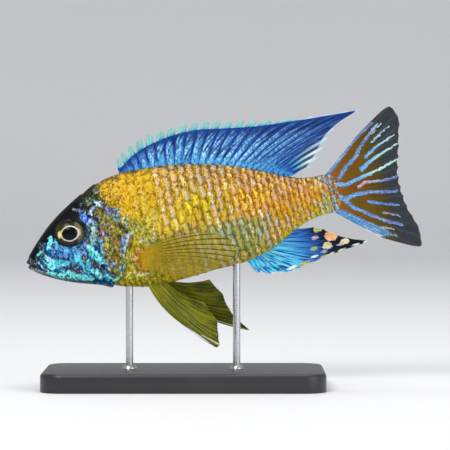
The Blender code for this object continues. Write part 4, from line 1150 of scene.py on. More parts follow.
def makeEyeMaterial():
    look = {key: eyeLook[key] for key in ("roughness", "coat", "specular", "coatRoughness")}
    material, tree, shader = newMaterial("eyeball", **look)
    spot = attribute(tree, "eyeSpot", "Vector")
    across, up, _ = spot.split()
    wobble = (spot.noise(0.9, 3.0) - 0.5) * 0.5
    far = node(tree, "ShaderNodeVectorMath", {0: spot}, "Value", operation="LENGTH")
    uneven = far + wobble
    iris = spot.noise(1.3, 4.0, 0.65).ramp(
        (0.36, "slate", 0.7), (0.48, "oliveDark", 0.25), (0.6, "napeOlive", 0.8), (0.72, "olive", 0.35),
    )
    # fine arcs in the upper front part
    arcs = (uneven * 11.0).math("SINE").mask(0.2, 0.9) * up.mask(0.4, 2.0) * across.mask(1.0, -1.0)
    iris = iris.lay(arcs * 0.5, "olive", 0.5)
    # grey-brown behind the pupil, with a pale outer edge
    rear = spot.noise(1.6, 3.0, 0.6).mask(0.4, 0.6).between(("brown", 0.45), ("bellyTan", 0.75))
    rear = rear.lay(across.mask(3.9, 3.2), rear.lay(0.3, "frost", 0.6))
    iris = iris.lay(across.mask(1.2, 2.6) * up.mask(4.2, 2.6), rear)
    iris = iris.lay(uneven.mask(3.85, 4.1) * across.mask(1.8, 3.0) * 0.7, blended(0.5, "bellyTan", "frost"))
    # a pale patch on each side of the ring
    front = across.mask(-2.2, -2.7) * uneven.mask(3.7, 3.3) * abs(up - 0.35).mask(1.6, 0.6)
    iris = iris.lay(front, "cream", 0.95)
    back = across.mask(1.8, 2.4) * far.mask(3.35, 3.0) * abs(up + wobble + 0.1).mask(1.5, 0.9)
    iris = iris.lay(back * 0.85, blended(0.4, "cream", "bellyTan"))
    # darker low down, and under the upper rim
    iris = iris.lay(up.mask(-2.4, -3.2) * across.mask(2.0, 0.4) * 0.8, "plum", 0.8)
    iris = iris.lay(up.mask(3.2, 4.2) * 0.8, "slate", 0.8)
    gold = spot.noise(1.1, 2.0).mask(0.4, 0.56).between(("cream", 0.7), ("white", 0.85))
    gold = gold.lay(across.mask(0.5, -1.5) * 0.35, "lime", 1.2)
    ring, pupil = eyeLook["ring"], eyeLook["pupil"]
    colour = gold.lay((far + wobble * 1.3).mask(ring - 0.12, ring + 0.1), iris)
    dark = up.mask(0.5, -2.4).between("black", ("navy", 0.4))
    feed(shader["Base Color"], dark.lay(far.mask(pupil - 0.06, pupil + 0.08), colour))
    feed(shader["Normal"], bump(spot.noise(2.5, 4.0, 0.6), 0.1, 0.4))
    return material


def makeEye(name, side, material):
    shape = bmesh.new()
    bmesh.ops.create_uvsphere(shape, u_segments=96, v_segments=64, radius=1.0)
    spotLayer = shape.verts.layers.float_vector.new("eyeSpot")
    reach, pupil = eyeShape["radius"], eyeLook["pupil"]
    shiftX, shiftZ = eyeLook["pupilShift"]
    wide, high = eyeLook["oval"]
    for vert in shape.verts:
        # the sphere's pole looks out of the head
        dx, dz, out = vert.co
        spot = Vector(((dx * reach - shiftX) / wide, (dz * reach - shiftZ) / high, 0))
        vert[spotLayer] = spot if out >= 0 else spot.normalized() * 8
        lens = eyeLook["lens"] * ease(pupil + 0.5, pupil - 0.9, spot.length) if out > 0 else 0.0
        y = side * (eyeShape["depth"] + eyeShape["halfDepth"] * out + lens - eyeLook["sink"])
        vert.co = place((eyeShape["x"] + dx * reach, y, eyeShape["z"] + dz * reach))
    return finishMesh(name, shape, material)


def makeOrbit(name, side):
    # the soft rim of skin round an eye, which runs out flat over the skin
    shape = bmesh.new()
    bmesh.ops.create_grid(shape, x_segments=112, y_segments=12, size=0.5)
    layers = paintLayers(shape)
    for vert in shape.verts:
        angle = (vert.co.x + 0.5) * 2 * math.pi
        reach = 0.86 + 0.46 * (vert.co.y + 0.5)
        x = eyeShape["orbit"][0] + eyeShape["orbitX"] * reach * math.cos(angle)
        z = eyeShape["orbit"][1] + eyeShape["orbitZ"] * reach * math.sin(angle)
        rise = eyeLook["rimHeight"] * hump(reach - 1.02, eyeLook["rimWidth"])
        rise -= 1.5 * ease(0.99, 0.86, reach) + 0.12 * ease(1.2, 1.32, reach)
        rise += 0.05 * unevenness(x * 1.5, z * 1.5, 4.0) * ease(0.95, 1.1, reach)
        paintBody(vert, layers, x, z)
        vert.co = place((x, side * (bodySide(x, z) + rise), z))
    bmesh.ops.remove_doubles(shape, verts=shape.verts, dist=0.01 * mm)
    piece = finishMesh(name, shape, skinMaterial)
    thick = piece.modifiers.new("thickness", "SOLIDIFY")
    thick.thickness = eyeLook["rimThickness"] * mm
    thick.offset = -1
    return piece


print("eyes")
eyeMaterial = makeEyeMaterial()
for label, side in (("left", -1), ("right", 1)):
    eye = makeEye("eyeball_" + label, side, eyeMaterial)
    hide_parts("eye_" + label)
    makeOrbit("eyeRim_" + label, side)

finShape = {
    "webHalf": 0.1,
    "rayRise": 0.17,
    "rayWidth": 0.1,  # as a share of the step from ray to ray, like the fork
    "fork": 0.15,
    "jointLength": 0.75,
    "jointDepth": 0.22,
    "rootHalf": 0.3,
    "sink": 1.0,  # how deep a fin's root stands in the skin
    "rootLift": 0.3,  # how far the line of its roots lies off the back or the belly
    "pleat": 0.12,
    "lappet": {"middle": 0.52, "half": 0.42, "lean": 0.55},  # the free tip of the skin between two spines
    "steps": (0.0, 0.045, 0.1, 0.15, 0.2, 0.27, 0.38, 0.5, 0.62, 0.73, 0.8, 0.85, 0.9, 0.955),
}


def tipCurve(tips):
    xs = smooth([(u, x) for u, x, z in tips])
    zs = smooth([(u, z) for u, x, z in tips])
    return lambda u: Vector((xs(u), zs(u)))


def rayPoint(root, tip, bow, share):
    line = tip - root
    return root + line * share + Vector((-line.y, line.x)) * (2 * share * (1 - share) * bow)


def makeFin(name, fin, root, sheet, out, material):
    # one closed sheet with a ridge for each ray; sheet(x, z) gives y on its middle surface
    columns = [i + step for i in range(fin["rays"] - 1) for step in finShape["steps"]] + [fin["rays"] - 1.0]
    rows = fin["rows"]
    tip = tipCurve(fin["tips"])
    notch = smooth(fin["notch"])
    spines = fin.get("spines", 0)
    lappet = finShape["lappet"]
    strokes = readyStrokes(fin.get("marks", []))
    shape = bmesh.new()
    bmesh.ops.create_grid(shape, x_segments=len(columns) - 1, y_segments=rows - 1, size=0.5)
    column, row, spotLayer, colourLayer, amountLayer = addLayers(
        shape, column="int", row="int", finSpot="float_vector", markColor="float_color", markAmount="float"
    )
    for vert in shape.verts:
        vert[column] = round((vert.co.x + 0.5) * (len(columns) - 1))
        vert[row] = round((vert.co.y + 0.5) * (rows - 1))
    under = set(shape.verts)
    bmesh.ops.extrude_face_region(shape, geom=shape.faces[:])
    out = Vector(out)
    for vert in shape.verts:
        u = columns[vert[column]]
        level = vert[row] / (rows - 1)
        between = u - math.floor(u)
        start, end = root(u), tip(u)
        if math.floor(u) < spines:
            # a rounded lappet, which leans towards the next spine
            away = (between - lappet["middle"]) / lappet["half"]
            short = 1 - math.sqrt(max(0.0, 1 - away * away))
            end = tip(u - lappet["lean"] * ease(spines, spines - 2, u))
        else:
            short = math.sin(between * math.pi)
        length = (end - start).length
        deep = min(notch(u), 0.7 * length)
        share = level * (1 - deep / length * short)
        sunk = -finShape["sink"] / length * (1 - level) ** 6
        x, z = rayPoint(start, end, fin["bow"], share + sunk)
        nearest = min(between, 1 - between)
        width = finShape["rayWidth"]
        if u < spines + 0.5:
            ridge = max(0.0, 1 - nearest / width) * (1 - 0.5 * level)
        else:
            # a soft ray parts in two on its way out, and has joints
            fork = finShape["fork"] * ease(0.4, 0.7, level)
            width *= 1 - 0.45 * ease(0.3, 0.6, level)
            ridge = max(0.0, 1 - abs(nearest - fork) / width) * (1 - 0.55 * level)
            joint = 0.5 + 0.5 * math.cos(level * length / finShape["jointLength"] * math.pi * 2)
            ridge *= 1 - finShape["jointDepth"] * joint * ease(0.25, 0.5, level)
        half = finShape["webHalf"] + finShape["rayRise"] * fin.get("stout", 1.0) * ridge
        half += finShape["rootHalf"] * (1 - level) ** 4
        half *= 1 - 0.5 * ease(0.9, 1.0, level)
        wave = fin["wave"] * level * math.sin(u * fin["waves"] + level * 2.0)
        pleat = finShape["pleat"] * level * math.cos(between * 2 * math.pi)
        face = -1 if vert in under else 1
        centre = Vector((x, sheet(x, z), z)) + out * (wave + pleat)
        # ray number, share of the ray's length, and distance below the notches' feet
        vert[spotLayer] = Vector((u, share, (1 - share) * length - deep))
        if strokes:
            vert[colourLayer], vert[amountLayer] = strokesAt(strokes, x, z, fin["raggedness"])
        vert.co = place(centre + out * face * half)
    return finishMesh(name, shape, material)


def addFinMarks(colour, where, streak, low, high, raggedness):
    # lays the fin's own strokes over a colour
    amount = attribute(where.tree, "markAmount")
    amount += (where.noise(1.7, 4.0, 0.72) - 0.5) * raggedness * amount.mask(0.0, 0.25)
    core = attribute(where.tree, "markColor", "Color")
    speck = where.stretch((1.0, 1.0, 1.0), (2, 4, 6)).noise(1.5, 4.0, 0.7)
    tone = core.lay(streak.mask(0.52, 0.64), core.lay(0.4, "white"))
    tone = tone.lay(streak.mask(0.48, 0.38), core.lay(0.5, "deepBlue"))
    tone = tone.lay(speck.mask(0.53, 0.6) * 0.5, core.lay(0.5, "white"))
    tone = tone.lay(speck.mask(0.47, 0.4) * 0.5, core.lay(0.6, "navy"))
    tone = tone.lay(amount.mask(0.75, 0.45), core.lay(0.35, "violet", 0.7))
    return colour.lay(amount.mask(low, high), tone)


def streaksOf(tree, streaks, seed, slant=0.0):
    return useGroup(tree, rayGroup, Streaks=streaks, Seed=seed, Slant=slant)["Streak"]


def makeDorsalMaterial():
    # royal blue, with light bands between the rays, and mint lappets
    material, tree, shader, where = wetMaterial("dorsalWeb")
    rays = useGroup(tree, rayGroup, Streaks=3.4, Seed=2.0)
    along, behind, edge, number = rays["Along"], rays["Behind"], rays["Edge"], rays["Number"]
    streak = rays["Streak"]
    fine = streaksOf(tree, 7.0, 8.0)
    hatch = streaksOf(tree, 4.2, 4.0, -7.0)
    grain = where.stretch((1.3, 1.0, 1.0)).noise(1.1, 3.0, 0.66)
    drift = (streak - 0.5) * 0.7
    fromMiddle = abs(behind - 0.5)
    ground = (along + drift).ramp(
        (0.0, "royal", 0.8), (0.4, "royal", 0.6), (0.75, "royal", 0.5), (1.0, "royal", 0.35),
    )
    ground = ground.lay(hatch.mask(0.54, 0.66), "royal", 1.25).lay(hatch.mask(0.46, 0.36), "navy", 0.8)
    # a light band behind each ray, weaker towards the rear
    band = behind.mask(0.08, 0.24) * behind.mask(0.96, 0.5) * (along.mask(0.95, 0.2) + drift)
    band = band * number.mask(0.0, 6.0) * (hatch.mask(0.4, 0.54) * 1.15 + 0.1)
    pale = blended(0.5, ("sky", 1.5), ("paleBlue", 1.3))
    light = grain.mask(0.44, 0.56).between(("sky", 0.6), pale)
    colour = ground.lay(band.math("MINIMUM", 1.0) * number.mask(24.0, 15.0), light)
    frontStreaks = streak.mask(0.52, 0.62) * along.mask(0.7, 0.15) * number.mask(14.0, 8.0)
    colour = colour.lay(frontStreaks * 0.75, "sky", 0.9)
    colour = colour.lay(hatch.mask(0.56, 0.64) * number.mask(15.0, 19.0) * 0.55, "sky", 0.9)
    colour = colour.lay(fromMiddle.mask(0.4, 0.48) * 0.5, "navy")
    base = along.mask(0.2, 0.05) * grain.mask(0.4, 0.54)
    colour = colour.lay(base * 0.6, blended(0.15, "sky", "turquoise"))
    # dark below the lappets, which are mint
    colour = colour.lay(edge.mask(2.2, 0.4) * number.mask(18.5, 14.0) * 0.75, "royal", 0.5)
    petal = edge.mask(-0.2, -1.2).between(("cyan", 0.6), ("frost", 0.8))
    petal = petal.lay(fine.mask(0.45, 0.62), blended(0.2, ("mint", 0.75), ("white", 0.8)))
    colour = colour.lay(edge.mask(0.15, -0.25) * number.mask(17.0, 16.5), petal)
    # the rear end is pale along the rays and partly clear between them
    rear = number.mask(21.5, 24.5)
    gaps = fromMiddle.mask(0.34, 0.2)
    rearColour = along.mask(0.3, 0.9).between("sky", "white").lay(gaps, "teal", 0.5)
    colour = colour.lay(rear * along.mask(0.12, 0.4), rearColour)
    colour = colour.lay(edge.mask(0.8, -0.4) * number.mask(16.3, 16.9), blended(0.5, "white", "sky"))
    feed(shader["Base Color"], colour)
    feed(shader["Alpha"], rear * gaps * along.mask(0.2, 0.5) * -0.35 + 1.0)
    return material


def makeAnalMaterial():
    # cyan at the front, through royal blue to nearly black, with egg spots
    material, tree, shader, where = wetMaterial("analWeb")
    streak, fine = streaksOf(tree, 3.0, 14.0), streaksOf(tree, 5.5, 3.0)
    x, _, z = where.split()
    sweep = z * 0.45 + x + (streak - 0.5) * 9.0  # grows towards the rear and the top
    ground = ((sweep - 66.0) * (1 / 32)).ramp(
        (0.0, "deepBlue", 1.2), (0.2, "deepBlue", 1.3), (0.4, "royal", 0.95), (0.56, "royal", 0.65),
        (0.66, "navy", 0.7), (0.8, "black", 1.5),
    )
    light = streak.mask(0.4, 0.6).between(("cyan", 1.15), blended(0.5, "frost", "mint"))
    light = light.lay(sweep.mask(72.0, 82.0), "sky", 0.85)
    colour = ground.lay(fine.mask(0.42, 0.54) * sweep.mask(88.0, 74.0) * 0.9, light)
    colour = colour.lay(fine.mask(0.48, 0.38) * sweep.mask(64.0, 70.0) * 0.6, "navy")
    feed(shader["Base Color"], addFinMarks(colour, where, fine, 0.35, 0.5, 1.6))
    return material


def makeTailMaterial():
    # orange-brown with blue stripes, and a smoky outer part
    material, tree, shader, where = wetMaterial("tailWeb")
    rays = useGroup(tree, rayGroup, Streaks=5.0, Seed=21.0)
    streak, nearRay = rays["Streak"], rays["NearRay"]
    fine = streaksOf(tree, 6.0, 5.0)
    x = where.split()[0]
    out = x + (streak - 0.5) * 7.0
    smoke = out.mask(114.0, 119.5)
    ground = streak.mask(0.35, 0.65).between("rust", ("rust", 0.7))
    ground = ground.lay(where.noise(0.8, 4.0, 0.68).mask(0.44, 0.57) * 0.8, "oliveDark", 1.2)
    ground = ground.lay(x.mask(108.0, 100.0), "brown", 1.3)
    ground = ground.lay(out.mask(110.0, 114.0) * 0.6, "oliveDark", 0.7)
    colour = ground.lay(smoke, fine.mask(0.5, 0.7).between("smoke", ("smoke", 1.8)))
    colour = colour.lay(smoke * nearRay * 0.2, "paleBlue", 0.3)
    feed(shader["Base Color"], addFinMarks(colour, where, fine, 0.34, 0.5, 2.6))
    clear = smoke * attribute(tree, "markAmount").mask(0.5, 0.2) * nearRay.mask(0.9, 0.2)
    feed(shader["Alpha"], clear * -0.22 + 1.0)
    return material


def makeClearFinMaterial(name, look):
    # thin skin between fine rays
    material, tree, shader, where = wetMaterial(name)
    rays = useGroup(tree, rayGroup, Streaks=5.0, Seed=33.0)
    along, nearRay, streak = rays["Along"], rays["NearRay"], rays["Streak"]
    body, others, web = look["body"], look["otherRays"], look["web"]
    root = streak.mask(0.4, 0.58).between((look["root"], 0.55), look["root"])
    ground = along.ramp((0.12, body), (0.4, body), (1.0, body, look["tipShade"]))
    ground = ground.lay(along.mask(look["rootReach"], 0.05), root)
    ground = ground.lay(streak.mask(0.38, 0.62), ground.lay(0.4, "lime"))
    ground = ground.lay(where.noise(0.9, 3.0).mask(0.5, 0.7), ground.lay(0.3, "oliveDark"))
    ground = ground.lay(where.noise(1.2, 3.0, 0.6).mask(0.58, 0.64) * look["speckle"], "cream", 0.7)
    # the first rays show more than the others
    show = along.mask(0.16, 0.34) * (rays["Number"].mask(8.0, 4.0) * (look["firstRays"] - others) + others)
    thin = nearRay.mask(0.45, 0.95)
    ground = ground.lay(nearRay.mask(0.2, 0.0) * show * 0.5, body, 1.7)
    colour = ground.lay(thin * show, look["rays"])
    feed(shader["Base Color"], addFinMarks(colour, where, streak, 0.3, 0.5, 0.6))
    marked = attribute(tree, "markAmount").mask(0.2, 0.5)
    solid = (thin * 0.6).math("MAXIMUM", along.mask(0.36, 0.05)).math("MAXIMUM", marked)
    feed(shader["Alpha"], solid * (1.0 - web) + web)
    return material


# Fins: "tips" gives a ray's number and its tip's x and z, "notch" how deep the edge is cut between rays, and
# "marks" colour, shade, half width, strength, then points as (x, z)
dorsal = {
    "rays": 27, "spines": 16, "rows": 34, "bow": 0.07, "wave": 0.5, "waves": 0.55, "stout": 1.1,
    "rootX": [(0, 34.5), (15, 71.2), (26, 88.6)],
    "tips": [(0, 34.6, 25.9), (1, 36.7, 27.6), (3, 43, 30.4), (5, 50.6, 31.8), (8, 62, 31.9), (11, 73, 29.9),
             (15, 88.7, 26.9), (17, 98.3, 25.8), (19, 109.5, 25.2), (20, 114.5, 24.9), (21, 109.4, 22.9),
             (22, 105.4, 20.6), (24, 100.8, 15.4), (26, 95.4, 9.9)],
    "notch": [(0, 3.4), (3, 3.4), (8, 2.8), (15, 2.2), (17, 1.2), (20, 1.6), (23, 3.0), (26, 2.4)],
}
anal = {
    "rays": 11, "spines": 3, "rows": 36, "bow": -0.05, "wave": 0.4, "waves": 0.9,
    "rootX": [(0, 68.8), (10, 87.2)],
    "tips": [(0, 70.9, -19.3), (1, 74.8, -20.5), (2, 79.0, -21.1), (3, 84.5, -20.8), (4, 90.0, -19.7),
             (5, 97.6, -18.5), (6, 107.6, -17.2), (7, 102.0, -14.8), (8, 98.2, -12.4), (9, 94.8, -10.3),
             (10, 91.6, -8.9)],
    "notch": [(0, 1.2), (2, 1.0), (4, 0.7), (10, 0.9)],
    "raggedness": 0.25,
    "marks": [
        ("lime", 1.2, 0.75, 1.0, [(92.2, -9.9), (93.4, -10.0)]),
        ("cream", 0.8, 0.9, 1.0, [(96.1, -12.9), (97.0, -12.9)]),
        ("peach", 1.0, 1.35, 1.0, [(96.0, -12.8), (97.1, -13.0)]),
        ("cream", 0.9, 0.85, 1.0, [(99.9, -15.6), (101.0, -15.6)]),
        ("cream", 0.8, 1.05, 1.0, [(94.3, -15.7), (95.1, -15.7)]),
        ("lilac", 0.8, 0.6, 0.9, [(90.9, -12.4), (91.9, -12.4)]),
        ("lime", 1.0, 0.55, 1.0, [(89.9, -15.7), (90.7, -15.7)]),
        ("lilac", 0.9, 0.4, 1.0, [(92.6, -17.3), (93.7, -17.2)]),
        ("lilac", 1.2, 0.35, 1.0, [(98.1, -16.3), (98.9, -16.3)]),
        ("cream", 1.1, 0.35, 1.0, [(98.1, -18.2), (99.4, -17.8)]),
        ("white", 0.9, 0.36, 1.0, [(89.2, -18.2), (90.6, -18.1)]),
        ("lime", 1.2, 0.34, 1.0, [(92.4, -18.9), (94.2, -18.7)]),
        ("cream", 1.0, 0.32, 1.0, [(95.1, -18.6), (96.2, -18.4)]),
        ("lime", 1.0, 0.4, 1.0, [(85.2, -19.8), (88.0, -19.3)]),
        ("white", 1.0, 0.4, 1.0, [(81.0, -20.3), (83.4, -19.9)]),
        ("white", 1.0, 0.4, 1.0, [(75.4, -20.7), (78.6, -20.9)]),
        ("white", 1.0, 0.26, 1.0, [(103.0, -17.4), (104.6, -17.2)]),
        ("white", 1.0, 0.24, 1.0, [(106.6, -17.2), (107.9, -17.0)]),
    ],
}
blueViolet = ("tailBlue", "violet")
blueFrost = ("tailBlue", "frost")
lilacViolet = ("lilac", "violet")
tail = {
    "rays": 17, "rows": 46, "bow": 0.0, "wave": 0.55, "waves": 0.6, "rootX": 99.3,
    "rootZ": [(0, 6.9), (16, -5.8)],
    "tips": [(0, 112.0, 17.2), (1, 122.9, 23.6), (2, 125.6, 20.6), (4, 124.8, 14.0), (8, 122.0, 0.8),
             (11, 122.6, -8.6), (14, 124.8, -19.2), (15, 123.4, -22.3), (16, 112.0, -16.8)],
    "notch": [(0, 0.0), (2, 0.25), (14, 0.25), (16, 0.0)],
    "raggedness": 0.3,
    "marks": [
        (blueViolet, 0.9, (0.55, 0.4), 1.0, [(99.6, 6.6), (103.2, 9.4), (106.3, 12.1), (111.4, 16.4),
                                             (117.0, 19.6)]),
        (blueViolet, 0.9, (0.6, 0.35), 1.0, [(103.0, 4.5), (105.7, 7.5), (109.8, 10.2), (111.4, 12.6),
                                             (115.0, 15.8), (118.5, 19.0)]),
        (blueFrost, 1.2, (0.7, 0.2), 1.0, [(110.9, 6.0), (113.2, 7.5), (116.3, 8.8), (123.6, 11.5)]),
        (blueFrost, 1.2, (0.55, 0.16), 1.0, [(112.9, 9.5), (116.1, 11.6), (123.1, 14.4)]),
        ("paleBlue", 0.8, (0.3, 0.14), 0.9, [(115.7, 13.6), (119.4, 16.0), (122.6, 17.6)]),
        ("paleBlue", 0.8, (0.22, 0.12), 0.9, [(116.5, 16.2), (119.6, 18.8), (121.5, 20.2)]),
        (blueFrost, 1.2, (0.65, 0.3), 1.0, [(101.5, 2.9), (104.9, 2.1), (109.9, 3.4), (113.2, 3.9),
                                            (118.0, 5.2), (122.5, 6.6)]),
        (lilacViolet, 0.9, (0.4, 0.35), 0.95, [(108.5, 0.5), (110.7, 1.6), (116.5, 0.8), (121.8, 1.2)]),
        (blueViolet, 1.0, (0.8, 0.3), 1.0, [(101.8, -1.2), (103.5, -2.3), (107.3, -1.6), (111.6, -1.7),
                                            (118.4, -3.2), (120.4, -3.4)]),
        (blueViolet, 1.0, (0.4, 0.25), 1.0, [(110.6, -4.7), (115.7, -6.6), (120.2, -8.0)]),
        (blueViolet, 1.0, (0.55, 0.35), 1.0, [(103.7, -3.2), (105.6, -5.6), (110.4, -9.0), (114.9, -12.0),
                                              (119.5, -14.2)]),
        ("tailBlue", 0.85, (0.9, 1.3), 1.0, [(99.6, -5.8), (101.8, -6.6), (105.4, -9.6), (108.8, -12.2),
                                             (113.4, -15.6)]),
        ("tailBlue", 0.55, (1.0, 0.3), 0.8, [(112.6, -15.2), (117.4, -17.4)]),
        ("white", 1.0, (0.12, 0.2), 1.0, [(104.5, -10.6), (108.3, -13.6), (112.2, -16.8)]),
        ("lilac", 0.7, (0.3, 0.15), 0.9, [(113.3, -13.6), (117.2, -15.2)]),
        ("lilac", 0.7, (0.3, 0.15), 0.9, [(114.7, -9.2), (119.8, -11.4)]),
    ],
}
pectoral = {
    "rays": 14, "rows": 30, "bow": 0.1, "wave": 0.3, "waves": 0.8, "stout": 0.7,
    "rootTop": (36.2, -3.9), "rootFoot": (36.6, -10.4), "rootDepth": 0.9,
    "flare": math.radians(15), "dip": math.radians(8),
    "tips": [(0, 56.5, -2.4), (1, 61.0, -4.0), (2, 64.6, -6.4), (3, 66.2, -8.9), (5, 64.6, -12.2),
             (8, 58.0, -14.9), (11, 49.5, -15.6), (13, 43.0, -14.2)],
    "notch": [(0, 0.5), (13, 0.5)],
    "look": {"root": "stalk", "body": "finYellow", "rays": "oliveDark", "web": 0.3, "firstRays": 1.0,
             "otherRays": 0.2, "rootReach": 0.2, "tipShade": 0.85, "speckle": 0.4},
}
pelvic = {
    "rays": 6, "rows": 36, "bow": -0.14, "wave": 0.5, "waves": 1.2,
    "rootX": [(0, 35.8), (5, 41.2)], "rootDepth": 1.2, "side": 2.4, "splay": math.radians(20),
    "leftTips": [(0, 45.0, -30.6), (1, 52.7, -38.8), (2, 54.5, -38.7), (3, 54.8, -35.6), (4, 55.2, -31.0),
                 (5, 52.5, -24.5)],
    "rightTips": [(0, 52.5, -30.8), (1, 64.2, -37.5), (2, 61.8, -33.0), (3, 59.8, -29.2), (4, 58.6, -24.0),
                  (5, 55.6, -18.6)],
    "notch": [(0, 0.4), (5, 0.35)],
    "raggedness": 0.05,
    "leftMarks": [("white", 0.9, (0.2, 0.3), 1.0, [(37.4, -21.4), (39.6, -25.4), (43.6, -29.9)]),
                  ("white", 0.9, (0.3, 0.4), 1.0, [(43.0, -29.4), (47.3, -33.4), (52.3, -39.0)]),
                  ("cream", 0.9, (0.1, 0.2), 1.0, [(49.6, -34.6), (54.5, -38.7)])],
    "rightMarks": [("white", 1.0, (0.1, 0.24), 1.0, [(53.0, -31.0), (59.5, -34.7), (64.2, -37.5)])],
    "look": {"root": "olive", "body": "pelvicOlive", "rays": "olive", "web": 0.95, "firstRays": 0.3,
             "otherRays": 0.2, "rootReach": 0.38, "tipShade": 0.5, "speckle": 0.12},
}


def rootOn(line, lift, rootX):
    # a root that follows the back or the belly
    xs = smooth(rootX)
    return lambda u: Vector((xs(u), line(xs(u)) + lift))


def makeMedianFins():
    flat, out = lambda x, z: 0.0, (0, 1, 0)
    root = rootOn(backLine, finShape["rootLift"], dorsal["rootX"])
    piece = makeFin("dorsalSail", dorsal, root, flat, out, makeDorsalMaterial())
    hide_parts("dorsal_fin")
    root = rootOn(bellyLine, -finShape["rootLift"], anal["rootX"])
    piece = makeFin("analSail", anal, root, flat, out, makeAnalMaterial())
    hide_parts("anal_fin")
    tailZ = smooth(tail["rootZ"])
    root = lambda u: Vector((tail["rootX"], tailZ(u)))
    piece = makeFin("tailFan", tail, root, flat, out, makeTailMaterial())
    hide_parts("tail_fin")


def makePectoral(name, side, material):
    top, foot = Vector(pectoral["rootTop"]), Vector(pectoral["rootFoot"])
    hinge = bodySide(*top) - pectoral["rootDepth"]
    flare, dip = math.tan(pectoral["flare"]), math.tan(pectoral["dip"])

    def sheet(x, z):
        return side * (hinge + (x - top.x) * flare + (top.y - z) * dip)

    out = Vector((-flare * side, 1, dip * side)).normalized()
    root = lambda u: top.lerp(foot, u / (pectoral["rays"] - 1))
    return makeFin(name, pectoral, root, sheet, out, material)


def makePelvic(name, side, label, material):
    rootX = smooth(pelvic["rootX"])
    top = bellyLine(pelvic["rootX"][0][1])
    splay = pelvic["splay"]

    def sheet(x, z):
        return side * (pelvic["side"] + (top - z) * math.tan(splay))

    out = (0, math.cos(splay), side * math.sin(splay))
    root = lambda u: Vector((rootX(u), top + pelvic["rootDepth"]))
    fin = dict(pelvic, tips=pelvic[label + "Tips"], marks=pelvic[label + "Marks"])
    return makeFin(name, fin, root, sheet, out, material)


print("fins")
makeMedianFins()
pectoralMaterial = makeClearFinMaterial("pectoralWeb", pectoral["look"])
pelvicMaterial = makeClearFinMaterial("pelvicWeb", pelvic["look"])
for label, side in (("left", -1), ("right", 1)):
    fin = makePectoral("pectoralFan_" + label, side, pectoralMaterial)
    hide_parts("pectoral_fin_" + label)
    fin = makePelvic("pelvicBlade_" + label, side, label, pelvicMaterial)
    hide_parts("pelvic_fin_" + label)

standShape = {
    "corner": 7.0 * mm, "edge": 1.2 * mm, "underEdge": 0.3 * mm,
    "collarRadius": 2.3 * mm, "collarTop": 1.98 * mm, "collarHeight": 1.1 * mm, "collarEdge": 0.25 * mm,
    "rodSink": 0.4 * mm, "sharpAngle": math.radians(35),
}


def makeStandMaterials():
    foot, tree, shader = newMaterial("satinFoot")
    where = objectPlace(tree)
    grain = where.noise(900.0, 3.0, 0.6)
    black = where.noise(30.0, 3.0).ramp((0.35, (0.014, 0.014, 0.016, 1.0)), (0.7, (0.024, 0.024, 0.027, 1.0)))
    feed(shader["Base Color"], black)
    feed(shader["Roughness"], grain * 0.16 + 0.28)
    feed(shader["Normal"], bump(grain, 0.04, 0.5))
    rod, tree, shader = newMaterial("brushedRod", metallic=1.0)
    rings = objectPlace(tree).stretch((60, 60, 4000)).noise(1.0, 3.0, 0.6)
    feed(shader["Base Color"], rings.ramp((0.3, (0.42, 0.43, 0.45, 1.0)), (0.7, (0.62, 0.63, 0.65, 1.0))))
    feed(shader["Roughness"], rings * 0.22 + 0.16)
    return foot, rod


def roundOff(shape, offset, segments, chosen):
    edges = [edge for edge in shape.edges if chosen(*(vert.co for vert in edge.verts))]
    bmesh.ops.bevel(shape, geom=edges, offset=offset, segments=segments, profile=0.5,
                    affect="EDGES", material=-1)


def finishStand(name, shape, material, solid):
    piece = finishMesh(name, shape, material)
    piece.data.set_sharp_from_angle(angle=standShape["sharpAngle"])
    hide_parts(solid)


def makeFoot(material):
    low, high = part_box("stand_foot")
    shape = bmesh.new()
    bmesh.ops.create_cube(shape, size=1.0)
    bmesh.ops.scale(shape, verts=shape.verts, vec=high - low)
    bmesh.ops.translate(shape, verts=shape.verts, vec=(low + high) / 2)
    roundOff(shape, standShape["corner"], 14, lambda a, b: abs(a.z - b.z) > mm)
    roundOff(shape, standShape["edge"], 6, lambda a, b: min(a.z, b.z) > high.z - 0.1 * mm)
    roundOff(shape, standShape["underEdge"], 2, lambda a, b: max(a.z, b.z) < low.z + 0.1 * mm)
    finishStand("standBase", shape, material, "stand_foot")
    return high.z


def makeRod(solid, material, footTop):
    low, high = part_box(solid)
    middleX = (low.x + high.x) / 2
    radius = (high.x - low.x) / 2
    top = high.z + standShape["rodSink"]
    tall = standShape["collarHeight"]
    shape = bmesh.new()
    bmesh.ops.create_cone(shape, cap_ends=True, segments=48, radius1=radius, radius2=radius,
                          depth=top - low.z)
    bmesh.ops.translate(shape, verts=shape.verts, vec=(middleX, 0, (top + low.z) / 2))
    collar = bmesh.ops.create_cone(shape, cap_ends=True, segments=48, radius1=standShape["collarRadius"],
                                   radius2=standShape["collarTop"], depth=tall)
    bmesh.ops.translate(shape, verts=collar["verts"], vec=(middleX, 0, footTop + tall / 2))

    def onRim(a, b):
        far = max(math.hypot(spot.x - middleX, spot.y) for spot in (a, b))
        return min(a.z, b.z) > footTop + 0.9 * tall and far > radius * 1.2

    roundOff(shape, standShape["collarEdge"], 3, onRim)
    finishStand(solid.replace("stand_", "standPost_"), shape, material, solid)


print("stand")
footMaterial, rodMaterial = makeStandMaterials()
footTop = makeFoot(footMaterial)
makeRod("stand_rod_front", rodMaterial, footTop)
makeRod("stand_rod_rear", rodMaterial, footTop)

